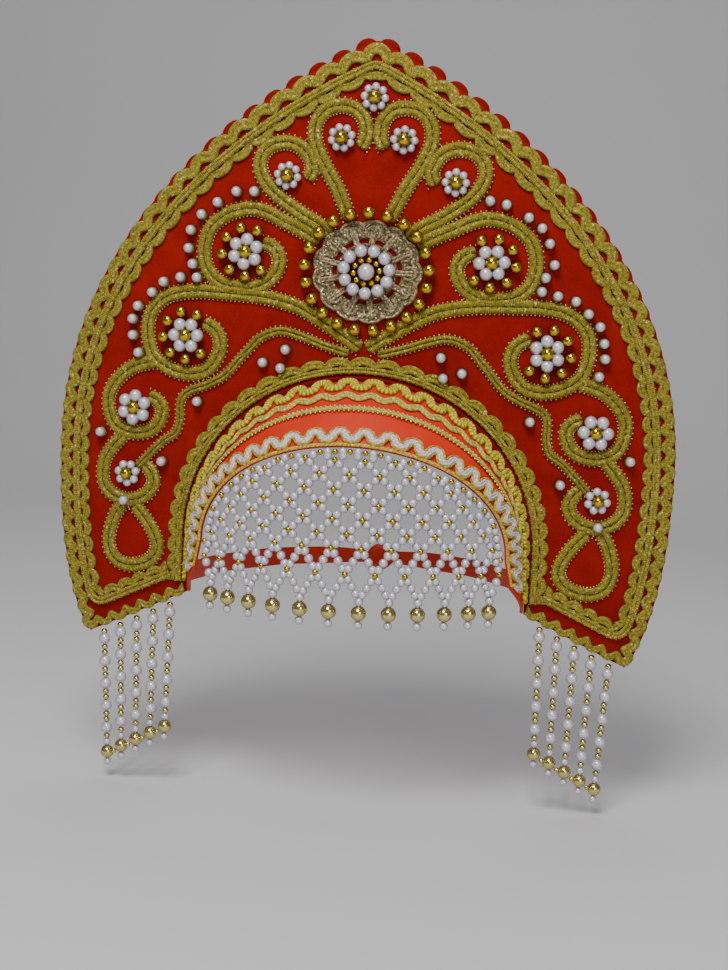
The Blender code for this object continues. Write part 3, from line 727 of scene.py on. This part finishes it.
def ball_template(sides, rings):
    points = [(0.0, 0.0, 1.0)]
    for ring in range(1, rings):
        polar = math.pi * ring / rings
        low, high = math.sin(polar), math.cos(polar)
        points += [(low * math.cos(math.tau * s / sides), low * math.sin(math.tau * s / sides), high)
                   for s in range(sides)]
    points.append((0.0, 0.0, -1.0))
    last = len(points) - 1
    faces = [(0, 1 + s, 1 + (s + 1) % sides) for s in range(sides)]
    for ring in range(rings - 2):
        low = 1 + ring * sides
        faces += [(low + s, low + sides + s, low + sides + (s + 1) % sides, low + (s + 1) % sides)
                  for s in range(sides)]
    low = 1 + (rings - 2) * sides
    faces += [(last, low + (s + 1) % sides, low + s) for s in range(sides)]
    return np.array(points), faces


ROUND, FINE, COARSE = (14, 9), (10, 7), (6, 4)
BALLS = {detail: ball_template(*detail) for detail in (ROUND, FINE, COARSE)}


def ball(build, centre, radius, look=0, detail=ROUND, flat=1.0):
    points, faces = BALLS[detail]
    scale = np.array((radius, radius, radius * flat))
    build.add(points * scale + np.array(centre), faces, look)


def strip(build, route, surface, profile, look=0, closed=False, lift=GAP):
    """A swept yarn: profile(distance) lists (across, height) from its left foot to its right one."""
    distance = 0.0
    rows = []
    for index, point in enumerate(route):
        distance += (point - route[index - 1]).length if index else 0.0
        side = side_of(route, index, closed)
        rows.append([(surface(*(point + side * across), lift + height), (distance, across))
                     for across, height in profile(distance)])
    lattice(rows, build, look, closed)


def humps(half, height, ridges, ribs, pitch, steps=5):
    """A braid's section: round ridges side by side, with ribs along it."""
    def profile(distance):
        row = [(-half, 0.0)]
        for ridge in range(ridges):
            for step in range(1 if ridge else 0, steps + 1):
                part = step / steps
                across = -half + 2 * half * (ridge + part) / ridges
                phase = math.tau * (distance / pitch + (part if ridge % 2 else -part) * 0.8)
                crown = RIDGE_EDGE + (1 - RIDGE_EDGE) * math.sin(math.pi * part) ** 0.6
                row.append((across, height * crown * (1 + ribs * math.sin(phase))))
        return row + [(half, 0.0)]
    return profile


def tape(build, route, surface, swing, curl, pitches, bands, ribs=0.0):
    """A woven tape that winds along a route, gathered on the inner side of each turn.

    The bands across it are (from, to, height, look, ridges). A positive swing bends it to the right at whole
    turns, and the curl, a share of the pitch, swells the turns towards loops.
    """
    line = resample(route, TAPE_STEP)
    middle = (len(line) - 1) / 2
    end = length_of(line) / 2
    path = []
    for index, point in enumerate(line):
        away = (index - middle) * end / middle
        turn = math.copysign(wave_turns(abs(away), end, pitches), away)
        side = side_of(line, index)
        bulge = curl * wave_pitch(abs(away) / end, pitches) * math.sin(2 * math.tau * turn)
        path.append(point + side * (swing * math.cos(math.tau * turn)) + Vector((-side.y, side.x)) * bulge)
    path = resample(path, TAPE_STEP)
    rows = []
    travelled = 0.0
    for index, point in enumerate(path):
        before, after = path[max(0, index - 2)], path[min(len(path) - 1, index + 2)]
        came, goes = point - before, after - point
        bend = (came.x * goes.y - came.y * goes.x) / max(1e-12, came.length * goes.length)
        radius = (came.length + goes.length) / 2 / max(1e-6, abs(bend))
        side = side_of(path, index)
        travelled += came.length / min(2, index) if index else 0.0

        def across_at(value):
            return math.copysign(min(abs(value), radius * 0.97), value) if value * bend < 0 else value

        row = []
        for start, stop, height, _, ridges in bands:
            band = [(start, 0.0)]
            for number in range(ridges * 4 + 1):
                crown = 0.45 + 0.55 * math.sin(math.pi * (number % 4) / 4) if number % 4 else 0.45
                crown *= 1 + ribs * math.sin(math.tau * travelled / 0.0015)
                band.append((start + (stop - start) * number / (ridges * 4), height * crown))
            band.append((stop, 0.0))
            row.append([(surface(*(point + side * across_at(across)), GAP + rise), (travelled, across))
                        for across, rise in band])
        rows.append(row)
    for number, (_, _, _, look, _) in enumerate(bands):
        lattice([row[number] for row in rows], build, look)


def lobed_tape(build, route, end, pitches, edges, height, look, narrower=0.0):
    """A flat tape with round lobes; an edge is its offset at the lobes, at the notches, and its roundness.

    Past the end, which is the lower corner for a border, the tape gets narrower on the inner side.
    """
    line = resample(route, TAPE_STEP)
    half = length_of(line) / 2

    def profile(distance):
        away = abs(distance - half)
        swell = abs(math.cos(math.pi * wave_turns(away, end, pitches)))
        first, last = (lobe + (notch - lobe) * (1 - swell ** power) for lobe, notch, power in edges)
        last -= narrower * min(1.0, max(0.0, (away - end + 0.003) / 0.006))
        row = [(first, 0.0)]
        for number in range(9):
            share = number / 8
            crown = 0.7 + 0.3 * abs(math.sin(math.tau * share)) ** 0.7
            row.append((first + (last - first) * share, height * crown))
        return row + [(last, 0.0)]

    strip(build, line, on_shield, profile, look)


def lattice(rows, build, look, closed=False):
    """Faces over equal rows of (point, uv), with the ends shut."""
    width = len(rows[0])
    faces = []
    for index in range(len(rows) if closed else len(rows) - 1):
        faces += joined(width, index * width, (index + 1) % len(rows) * width)
    if not closed:
        faces += [tuple(range(width))[::-1], tuple(range((len(rows) - 1) * width, len(rows) * width))]
    corners = [corner for row in rows for corner in row]
    build.add([corner[0] for corner in corners], faces, look, [corner[1] for corner in corners])


def picots(build, route, surface, half, height, pitch, look, radius):
    """The tiny foil loops along a braid's edges."""
    line = resample(route, pitch)
    for index, point in enumerate(line):
        side = side_of(line, index)
        for sign in (-1, 1):
            ball(build, surface(*(point + side * (sign * half)), height), radius, look, COARSE)


def braid(name, route, surface, width, replaced, height, look, loop=PICOT_LOOP):
    """A picot braid: two round ridges of woven yarn, foil loops at the edges, and narrow ends."""
    build = Build(look, PICOT)
    line = resample(route, 0.0005)
    half = width / 2
    total = length_of(line)
    full = humps(half, height, 2, 0.0, 0.0011)

    def profile(distance):
        end = min(1.0, max(0.0, min(distance, total - distance)) / 0.0022)
        size = 0.25 + 0.75 * math.sqrt(end * (2 - end))
        return [(across * size, high * size) for across, high in full(distance)]

    strip(build, line, surface, profile, 0)
    picots(build, route, surface, half + loop, 0.0008, 0.0022, 1, loop)
    build.finish(name, replaced)


def shield_felt():
    """The felt board, bent, with soft edges."""
    outline = eased(rounded(resample(border(3), 0.0015), 3), 14)
    outline += list(reversed(arch(0.0, -FOOT_DROP, 27)))[1:-1]
    bm = bmesh.new()
    bm.faces.new([bm.verts.new((point.x, point.y, 0.0)) for point in outline])
    cuts = 36
    for number in range(-cuts + 1, cuts):
        geometry = list(bm.verts) + list(bm.edges) + list(bm.faces)
        across = HALF_WIDTH * number / cuts
        bmesh.ops.bisect_plane(bm, geom=geometry, plane_co=(across, 0, 0), plane_no=(1, 0, 0), dist=1e-6)
    for vert in bm.verts:
        vert.co = on_shield(vert.co.x, vert.co.y, 0.0)
    bmesh.ops.recalc_face_normals(bm, faces=bm.faces)
    mesh = bpy.data.meshes.new("shield_felt")
    bm.to_mesh(mesh)
    bm.free()
    mesh.materials.append(FELT)
    obj = placed("shield_felt", mesh)
    wall = obj.modifiers.new("wall", "SOLIDIFY")
    wall.thickness = WALL
    wall.offset = -1.0 if mesh.polygons[0].normal.y < 0 else 1.0
    soft = obj.modifiers.new("soft_edge", "BEVEL")
    soft.width = 0.0007
    soft.segments = 2
    soft.angle_limit = math.radians(50)
    for polygon in mesh.polygons:
        polygon.use_smooth = True
    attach(obj, "root")
    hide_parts("shield")


def red_scallops():
    """The red scalloped edging behind the rim, tall at the apex and low on the sides."""
    outer = resample(both_sides(right_outline(3)), 0.0006)
    half = length_of(outer) / 2

    def profile(distance):
        away = abs(distance - half)
        swell = (max(0.0, abs(math.sin(math.pi * wave_turns(away, half, BORDER_PITCHES))) - 0.3) / 0.7) ** 0.5
        tall = max(0.0, 1 - away / half / 0.62)
        reach = 0.0002 + (0.0009 + 0.0026 * tall) * swell
        thick = 0.0009 + 0.0009 * swell
        return [(0.0060, 0.0), (0.0060, -thick * 0.6), (0.0, -thick), (-reach * 0.7, -thick),
                (-reach, -thick * 0.55), (-reach * 0.8, 0.0)]

    build = Build(RED_CORD)
    strip(build, outer, on_shield, profile, 0, lift=-WALL - GAP)
    build.finish("red_scallops", ("red_edging",))


def border_right(inset):
    """The right half of a line beside the rim, a little lower along the foot, rounded at the corner."""
    line = eased(rounded(resample(shifted(border(4), inset), 0.0015), 4), 24)
    right = [Vector((0.0, RISE - inset * 1.3))] + [point.copy() for point in line if point.x > 0.0005]
    corner = min(range(len(right)), key=lambda index: (right[index] - CORNER).length)
    for number, point in enumerate(right[corner:]):
        point.y -= FOOT_LOWER * min(1.0, number / 12)
    foot = ARCH_HALF_WIDTH + 0.0008
    right[-1] = Vector((foot, foot_height(foot) + inset - FOOT_LOWER))
    return right


def edge_wave():
    """The outermost tape, whose lobes reach the rim."""
    right = border_right(WAVE_INSET)
    corner = length_to(right, CORNER)
    build = Build(SCALLOP)
    outer = (-WAVE_INSET, 0.0030 - WAVE_INSET, 0.55)
    inner = (0.0052 - WAVE_INSET, 0.0082 - WAVE_INSET, 2.0)
    lobed_tape(build, both_sides(right), corner, BORDER_PITCHES, (outer, inner), 0.0014, 0, 0.0018)
    build.finish("edge_wave", ("edge_wave_braid",))


def scalloped_gimp(name, route, cord, edges, pitches, replaced, end=None):
    """A border braid: a lobed tape, and on its straight side a cord (offset, half width, height)."""
    line = resample(rounded(resample(route, 0.0015), 3), 0.0006)
    build = Build(GIMP_CORD, SCALLOP, PICOT)
    lobed_tape(build, line, end or length_of(line) / 2, pitches, edges, 0.0012, 1)
    place, width, height = cord
    middle = shifted(line, place)
    strip(build, middle, on_shield, humps(width, height, 2, 0.0, 0.0011), 0, lift=GAP + 0.0010)
    picots(build, middle, on_shield, width + 0.0001, 0.0017, 0.0042, 2, 0.00028)
    build.finish(name, replaced)


def gimps():
    line = gimp_route()
    corner = length_of(line) / 2 - (CORNER.x - GIMP_INSET * 1.3 - line[-1].x)
    scalloped_gimp("border_gimp_braid", line, (-0.0028, 0.0019, 0.0014),
                   ((-0.0002, -0.0018, 2.0), (0.0039, 0.0009, 0.5)), BORDER_PITCHES, ("border_gimp",), corner)
    middle = ARCH_GIMP_START + ARCH_GIMP_WIDTH / 2
    route = arch(middle, foot_height(ARCH_HALF_WIDTH) + WAVE_INSET + WAVE_SWING, 40)
    scalloped_gimp("arch_gimp_braid", route, (0.0019, 0.0016, 0.0013),
                   ((-0.0045, -0.0014, 0.5), (-0.0004, 0.0010, 2.0)), ARCH_PITCHES, ("arch_gimp",))


def scroll_braids():
    for name, shares in SCROLLS.items():
        route = through([field(share) for share in shares])
        width, look = (THIN_WIDTH, THIN_BRAID) if name == "thin" else (SCROLL_WIDTH, BRAID)
        for side, line in (("left", mirrored(route)), ("right", route)):
            braid(f"{name}_braid_{side}", line, on_shield, width, (f"scroll_{name}_{side}",), 0.0018, look)


def flower(name, centre, radius, pearls, replaced, turn):
    """Pearls round a raised gold bead."""
    build = Build(PEARL, GOLD)
    size = radius / (1 + 1 / math.sin(math.pi / pearls)) * 1.05
    ring = radius - size
    for number in range(pearls):
        spot = centre + unit(turn + math.tau * number / pearls) * ring
        ball(build, on_shield(spot.x, spot.y, size + BEAD_LIFT), size)
    heart = max(0.0024, min(ring - size * 0.8, 0.0032))
    ball(build, on_shield(centre.x, centre.y, heart + 0.0011), heart, 1)
    build.finish(name, replaced)


def flowers():
    rng = random.Random(3)
    for name, (across, up, radius, pearls, _) in FLOWERS.items():
        centre = field((across, up))
        for side, middle in (("left", Vector((-centre.x, centre.y))), ("right", centre)):
            if name == "top" and side == "left":
                continue
            node_name = "flower_top" if name == "top" else f"flower_{name}_{side}"
            flower(f"pearls_{name}_{side}", middle, radius, pearls, (node_name,), rng.uniform(0.0, math.tau))


def small_stones():
    """The single pearls in their cups and the rings of gold beads, which only this script holds."""
    rng = random.Random(5)
    pearls = Build(PEARL, CUP)
    for share in SINGLE_PEARLS:
        spot = field(share)
        for sign in (-1, 1):
            across = sign * spot.x + rng.uniform(-SINGLE_SCATTER, SINGLE_SCATTER)
            up = spot.y + rng.uniform(-SINGLE_SCATTER, SINGLE_SCATTER)
            ball(pearls, on_shield(across, up, CUP_LIFT), CUP_RADIUS, 1)
            ball(pearls, on_shield(across, up, SINGLE_LIFT), SINGLE_RADIUS)
    pearls.finish("single_pearls")
    gold = Build(GOLD)
    for number in range(RING_COUNT):
        angle = math.tau * (number + 0.25) / RING_COUNT
        up = RING_HALF_HEIGHT * math.sin(angle) + MEDALLION_HEIGHT
        lift = RING_BEAD + (RING_RAISE if angle < math.pi else 0.0)
        ball(gold, on_shield(RING_HALF_WIDTH * math.cos(angle), up, lift), RING_BEAD)
    for across, up, radius, _, ringed in FLOWERS.values():
        centre = field((across, up))
        for sign in (-1, 1) if ringed else ():
            for number in range(FLOWER_BEADS):
                angle = math.radians(62 + 251 * number / (FLOWER_BEADS - 1))
                away = unit(angle) * (radius + FLOWER_BEAD_REACH)
                place = on_shield(sign * (centre.x - away.x), centre.y + away.y, FLOWER_BEAD + BEAD_LIFT)
                ball(gold, place, FLOWER_BEAD)
    gold.finish("gold_ring_beads")


# Line of a lace petal: turn from the petal's middle and share of the lace's radius
PETAL = ((-0.14, 0.66), (-0.15, 0.76), (-0.09, 0.83), (0.0, 0.86), (0.09, 0.83), (0.15, 0.76), (0.14, 0.66))
# Rings of stones on the lace: count, radius of the ring, radius of a stone, look
STONE_RINGS = ((11, 0.0109, 0.0031, 0), (10, 0.0062, 0.0017, 1))
STONE_BASE = 0.0016
MIDDLE_STONE = 0.0041


def medallion():
    """The lace rosette, its threads and petals, and the stones on it; it is a little wider than tall."""
    centre = Vector((0.0, MEDALLION_HEIGHT))
    lace = Build(OLD_GOLD, LACE_CORD)

    def on_rosette(across, up, lift):
        return on_shield(across, MEDALLION_HEIGHT + (up - MEDALLION_HEIGHT) * MEDALLION_TALL, lift)

    def around(radius_of, steps):
        return [centre + unit(math.tau * step / steps) * radius_of(step / steps) for step in range(steps)]

    def annulus(distance):
        """The lace's body: flat inside, with a lobe at each petal outside."""
        swell = abs(math.cos(math.pi * PETALS * distance / (math.tau * LACE_RADIUS * 0.80))) ** 0.6
        inner, outer = -0.0050, 0.0022 + 0.0021 * swell
        row = [(inner, 0.0)]
        for number in range(13):
            share = number / 12
            height = 0.0008 + 0.0005 * abs(math.sin(math.pi * 4 * share))
            row.append((inner + (outer - inner) * share, height))
        return row + [(outer, 0.0)]

    def rim(part):
        return LACE_RADIUS * (0.875 + 0.080 * abs(math.cos(math.pi * PETALS * part)) ** 0.6)

    def thread(line, half, height, ridges=1, pitch=0.0012, lift=GAP, look=1, steps=4, closed=False):
        strip(lace, line, on_rosette, humps(half, height, ridges, 0.1, pitch, steps), look, closed, lift)

    strip(lace, around(lambda part: LACE_RADIUS * 0.80, 600), on_rosette, annulus, 0, True)
    thread(around(lambda part: LACE_RADIUS * 0.47, 300), 0.0019, 0.0012, 2, look=0, steps=5, closed=True)
    thread(around(rim, 700), 0.0008, 0.0019, closed=True)
    for number in range(PETALS):
        angle = math.tau * number / PETALS
        away = unit(angle) * LACE_RADIUS
        thread(resample([centre + away * 0.48, centre + away * 0.88], 0.0006), 0.0015, 0.0014, 2,
               lift=GAP + 0.0005)
        petal = [centre + unit(angle + turn) * LACE_RADIUS * reach for turn, reach in PETAL]
        thread(resample(through(petal), 0.0005), 0.0007, 0.0014, pitch=0.0011, lift=GAP + 0.0007)
    lace.finish("lace_rosette", ("medallion_lace",))
    stones = Build(PEARL, GOLD)
    ball(stones, on_shield(centre.x, centre.y, STONE_BASE + MIDDLE_STONE), MIDDLE_STONE)
    for count, ring, size, look in STONE_RINGS:
        for number in range(count):
            place = centre + unit(math.tau * number / count + 0.13) * ring
            ball(stones, on_rosette(place.x, place.y, STONE_BASE + size), size, look)
    stones.finish("medallion_stones", ("medallion_pearls",))


def band_satin():
    """The satin band, with the slight pull of cloth over its stiff core."""
    rng = random.Random(11)
    waves = [(rng.uniform(18, 60), rng.uniform(0, math.tau), rng.uniform(0.3, 1.0)) for _ in range(6)]
    columns, rows = 160, 16
    build = Build(SATIN)
    for side in (1, -1):
        points = []
        uvs = []
        for column in range(columns + 1):
            share = column / columns * 2 - 1
            for row in range(rows + 1):
                depth = row / rows
                pull = sum(size * math.sin(rate * share + turn + depth * 3) for rate, turn, size in waves)
                edge = math.sin(math.pi * depth)
                middle = band_surface(share, depth)
                out = Vector((middle.x, 0.0, middle.z - ARCH_SPRING)).normalized()
                lift = side * BAND_WALL / 2 + (pull * 0.00009 * edge if side > 0 else 0.0)
                points.append(middle + out * lift - SEAT)
                uvs.append((share * BAND_HALF, depth * BAND_WIDTH))
        build.add(points, [face[::side] for face in quads(columns, rows)], 0, uvs)
    size = (columns + 1) * (rows + 1)
    rim = [column * (rows + 1) for column in range(columns + 1)]
    rim += [columns * (rows + 1) + row for row in range(1, rows + 1)]
    rim += [column * (rows + 1) + rows for column in range(columns - 1, -1, -1)]
    rim += list(range(rows - 1, 0, -1))
    for a, b in zip(rim, rim[1:] + rim[:1]):
        build.faces.append((a, b, b + size, a + size))
        build.looks.append(0)
        build.uvs += [(0.0, 0.0)] * 4
    obj = build.finish("band_satin", ("forehead_band",))
    bm = bmesh.new()
    bm.from_mesh(obj.data)
    bmesh.ops.recalc_face_normals(bm, faces=bm.faces)
    bm.to_mesh(obj.data)
    bm.free()


def band_line(depth, end_share):
    reach = BAND_HALF * end_share
    return [Vector((reach * (number / 200 - 1), depth)) for number in range(401)]


# Bands across the three tapes on the satin: from, to, height, look, ridges
JUNCTION_TAPE = ((-0.0021, 0.0021, 0.0019, 0, 2),)
WAVE_TAPE = ((-0.0020, 0.0, 0.0012, 0, 1), (0.0, 0.0020, 0.0012, 0, 1))
EDGE_TAPE = (
    (-0.0024, -0.0015, 0.0016, 1, 1),
    (-0.0015, 0.0015, 0.0016, 0, 2),
    (0.0015, 0.0024, 0.0016, 1, 1),
)
# How far from the board or the brow edge they and their seams lie, and how much of the band they run along
JUNCTION_LINE = (JUNCTION_PLACE + 0.0025, 0.99)
SEAM_LINE = (0.0029, 0.985)
WAVE_LINE = (BAND_WAVE_PLACE + 0.0024, 0.94)
CORD_LINE = (CORD_PLACE + 0.0012, 0.92)
EDGE_LINE = (0.0048, 0.985)
HEM_LINE = (0.0004, 0.985)


def band_trims():
    """The four braids on the satin band, from the arch to the brow."""
    junction = Build(BRIGHT, RED_CORD)
    tape(junction, band_line(*JUNCTION_LINE), on_band, -0.0029, 0.07, BAND_PITCHES, JUNCTION_TAPE, ribs=0.05)
    seam = resample(band_line(*SEAM_LINE), 0.002)
    strip(junction, seam, on_band, humps(0.0007, 0.0022, 1, 0.0, 0.0011, 4), 1)
    junction.finish("junction_loops", ("junction_braid",))
    wave = Build(BAND_YARN)
    tape(wave, band_line(*WAVE_LINE), on_band, -BAND_WAVE_SWING, 0.0, BAND_PITCHES, WAVE_TAPE)
    wave.finish("band_wave", ("band_wave_braid",))
    cord = band_line(*CORD_LINE)
    braid("band_cord", cord, on_band, 0.0024, ("band_picot_cord",), 0.0013, BAND_YARN, 0.0006)
    edge = Build(PALE, EDGE_GOLD)
    tape(edge, band_line(*EDGE_LINE), on_brow, 0.0022, 0.05, BAND_PITCHES, EDGE_TAPE)
    hem = resample(band_line(*HEM_LINE), 0.0006)
    strip(edge, hem, on_brow, humps(0.0009, 0.0008, 1, 0.0, 0.0011, 4), 1, lift=-0.0003)
    edge.finish("band_edge", ("band_edge_braid",))


def string_of(build, start, end, size, keep):
    """Beads side by side between two points; the room kept at the ends is given in beads."""
    run = end - start
    room = run.length - (keep[0] + keep[1]) * size * 2
    count = max(1, round(room / (size * 2)))
    for number in range(count):
        share = (keep[0] * size * 2 + room * (number + 0.5) / count) / run.length
        ball(build, start + run * share, min(size, room / count / 2 * 1.06), 0, FINE)


# Drop under a tip of the net, and the end of a string: distance down, radius, look, detail
NET_DROP = ((0.0008, NET_PEARL, 0, FINE), (0.0063, 0.0037, 2, ROUND), (0.0119, 0.0021, 0, FINE))
STRING_END = ((0.0076, 0.0019, 0, FINE), (0.0127, 0.0034, 1, ROUND), (0.0179, 0.0019, 0, FINE))


def net_pearls():
    """The net: pearls on the diamonds' sides, gold seeds at the knots, and a drop under each tip."""
    build = Build(PEARL, GOLD, PALE_GOLD)
    knots = {}
    lines = {}
    for row in range(-1, NET_ROWS_ABOVE + 1):
        for column in range(-NET_COLUMNS + 1, NET_COLUMNS):
            if (column + row) % 2:
                continue
            floor = knot(column, row - 1)
            if floor.z + SEAT.z > net_crown(column * NET_STEP) - NET_CUT:
                continue
            ring = [knot(column - 1, row), floor, knot(column + 1, row), knot(column, row + 1)]
            keys = [tuple(round(value * 1e5) for value in corner) for corner in ring]
            for index in range(4):
                a, b = keys[index], keys[(index + 1) % 4]
                knots[a] = ring[index]
                if a != b:
                    lines[tuple(sorted((a, b)))] = (ring[index], ring[(index + 1) % 4])
    tips = [knot(column, -2) for column in range(-NET_COLUMNS + 1, NET_COLUMNS, 2)]

    def at_tip(*places):
        return min((tip - place).length for tip in tips for place in places) < 1e-4

    for a, b in lines.values():
        string_of(build, a, b, NET_PEARL, (0.2, 0.35 if at_tip(a, b) else 0.2))
    for place in knots.values():
        if not at_tip(place):
            ball(build, place + Vector((0.0, -0.0009, 0.0)), NET_SEED, 1, FINE)
    for tip in tips:
        for down, radius, look, detail in NET_DROP:
            ball(build, tip - Vector((0.0, 0.0, down)), radius, look, detail)
    build.finish("net_pearls", ("forehead_net",))


def pendant_top(sign, number):
    foot = CORNER.x - ARCH_HALF_WIDTH
    share = PENDANT_MARGIN + (1 - 2 * PENDANT_MARGIN) / (PENDANT_COUNT - 1) * number
    across = ARCH_HALF_WIDTH + foot * share
    return on_shield(sign * across, foot_height(across) - GAP - 0.003 * (DROP - FOOT_DROP) / foot, -WALL / 2)


def pendants():
    """The strings under the wings: pearls, pairs of gold seeds between them, and a gold bead at the end."""
    rng = random.Random(17)
    links = Build(PALE_GOLD)
    aside = Vector((0.0, -0.001, -0.001))
    for side, sign in (("left", -1.0), ("right", 1.0)):
        ends = []
        for number in range(PENDANT_COUNT):
            build = Build(PEARL, PALE_GOLD)
            top = pendant_top(sign, number)
            lean = Vector((-sign * LEAN * (number - 1), rng.uniform(-LEAN / 2, LEAN / 2), 0.0))

            def at(down):
                return top + Vector((0.0, 0.0, -down)) + lean * (down / PENDANT_LENGTH)

            ball(build, at(FIRST_SEED), STRING_SEED, 1, FINE, SEED_FLAT)
            for pearl_number in range(STRING_PEARLS):
                down = FIRST_PEARL + STRING_PITCH * pearl_number
                ball(build, at(down), STRING_PEARL)
                for gap in SEED_PLACES if pearl_number < STRING_PEARLS - 1 else SEED_PLACES[:1]:
                    ball(build, at(down + gap), STRING_SEED, 1, FINE, SEED_FLAT)
            for place, radius, look, detail in STRING_END:
                ball(build, at(down + place), radius, look, detail)
            ends.append(at(down + STRING_END[1][0]))
            build.finish(f"string_{side}_{number + 1}", (f"pendant_{side}_{number + 1}",))
        for a, b in zip(ends, ends[1:]):
            string_of(links, a + aside, b + aside, LINK_BEAD, (1.2, 1.2))
    links.finish("pendant_links")


def tie_point(angle, up_share):
    half = ARCH_HALF_WIDTH + TIE_FOOT
    start = bent(half, 0.0, -WALL - GAP).y
    up = -FOOT_DROP + RIBBON_WIDTH * up_share - TIE_DIP * math.sin(angle)
    return Vector((half * math.cos(angle), start + TIE_DEPTH * math.sin(angle), up + TIE_RAISE)) - SEAT


def ties():
    """The satin ties, with a soft ripple, and their plain knot."""
    last = math.acos((KNOT_HALF_WIDTH + GAP) / (ARCH_HALF_WIDTH + TIE_FOOT))
    for side, sign in (("left", -1.0), ("right", 1.0)):
        columns, rows = 120, 8
        points = []
        uvs = []
        for column in range(columns + 1):
            part = column / columns
            for row in range(rows + 1):
                up = row / rows
                place = tie_point(last * part, up)
                gather = 0.25 * (1 - math.exp(-((1 - part) * 9) ** 2)) + 0.75
                place.z += (0.5 - up) * RIBBON_WIDTH * (1 - gather)
                ripple = 0.0006 * math.sin(part * 21 + up * 2.2) * math.sin(math.pi * part)
                place += Vector((math.cos(last * part), math.sin(last * part), 0.0)) * ripple
                points.append(Vector((place.x * sign, place.y, place.z)))
                uvs.append((part * 0.25, up * RIBBON_WIDTH))
        build = Build(SATIN)
        build.add(points, quads(columns, rows), 0, uvs)
        ribbon = build.finish(f"satin_tie_{side}", (f"tie_ribbon_{side}",))
        wall = ribbon.modifiers.new("wall", "SOLIDIFY")
        wall.thickness = TIE_WALL
        wall.offset = 0.0
    build = Build(SATIN)
    centre = tie_point(math.pi / 2, 0.5)
    points, faces = ball_template(40, 24)
    folded = []
    for x, y, z in points:
        fold = 1 + 0.10 * math.sin(6 * math.atan2(z, y) + 3 * x)
        folded.append((x * KNOT_HALF_WIDTH, y * 0.0055 * fold, z * 0.0072 * fold * (1 - 0.15 * x * x)))
    build.add(np.array(folded) + np.array(centre), faces)
    build.finish("satin_knot", ("tie_knot",))


# Camera, light and floor

FOCAL_PIXELS = 1600.0
LONG_SIDE_PIXELS = 970.0
SENSOR = 36.0
TURN = math.radians(-5.5)
NOD = math.radians(8.0)
TILT = math.radians(2.7)
OBJECT_FROM_CAMERA = Vector((-0.0028, 0.7757, 0.0101))


def camera():
    """The photograph's view: axes right, forward and up of the camera are the rows of the turn."""
    turn = Matrix.Rotation(TURN, 3, "Z")
    nod = Matrix.Rotation(NOD, 3, "X")
    tilt = Matrix.Rotation(TILT, 3, "Y")
    rows = tilt @ nod @ turn
    right, forward, up = (Vector(rows[index]) for index in range(3))
    away = right * OBJECT_FROM_CAMERA.x + forward * OBJECT_FROM_CAMERA.y + up * OBJECT_FROM_CAMERA.z
    place = -away - SEAT
    data = bpy.data.cameras.new("camera")
    data.sensor_width = SENSOR
    data.lens = FOCAL_PIXELS * SENSOR / LONG_SIDE_PIXELS
    data.clip_start = 0.01
    obj = placed("camera", data)
    axes = Matrix((right, up, -forward)).transposed()
    obj.matrix_world = Matrix.Translation(place) @ axes.to_4x4()
    bpy.context.scene.camera = obj


def area_light(name, place, target, size, power, colour=(1.0, 1.0, 1.0)):
    data = bpy.data.lights.new(name, "AREA")
    data.energy = power
    data.size = size
    data.color = colour
    obj = placed(name, data)
    obj.location = place
    obj.rotation_euler = (Vector(target) - Vector(place)).to_track_quat("-Z", "Y").to_euler()


def stage():
    """A pale floor that curves up into a backdrop."""
    floor = -0.200
    curve = [(-1.6, floor), (0.9, floor)]
    for step in range(1, 13):
        angle = math.pi / 2 * step / 12
        curve.append((0.9 + 0.5 * math.sin(angle), floor + 0.5 * (1 - math.cos(angle))))
    curve.append((1.4, 2.4))
    points = [(x, y, z) for y, z in curve for x in (-3.0, 3.0)]
    faces = [(2 * i, 2 * i + 1, 2 * i + 3, 2 * i + 2) for i in range(len(curve) - 1)]
    mesh = bpy.data.meshes.new("floor")
    mesh.from_pydata(points, [], faces)
    for polygon in mesh.polygons:
        polygon.use_smooth = True
    mesh.materials.append(stage_paint())
    obj = placed("floor", mesh)


def lights():
    target = (0.0, 0.0, 0.02)
    area_light("key", (-0.15, -0.80, 1.05), target, 0.50, 17.0, (1.0, 0.98, 0.95))
    area_light("fill", (0.6, -1.1, 0.25), target, 0.6, 3.0)
    area_light("top", (0.0, 0.25, 1.1), target, 0.8, 4.0)
    world = bpy.data.worlds.new("studio")
    world.use_nodes = True
    world.node_tree.nodes["Background"].inputs["Color"].default_value = (0.95, 0.96, 1.0, 1.0)
    world.node_tree.nodes["Background"].inputs["Strength"].default_value = 0.20
    bpy.context.scene.world = world


def build_scene():
    for step in (camera, shield_felt, red_scallops, edge_wave, gimps, scroll_braids, flowers, small_stones,
                 medallion, band_satin, band_trims, net_pearls, pendants, ties, stage, lights):
        step()


build_scene()
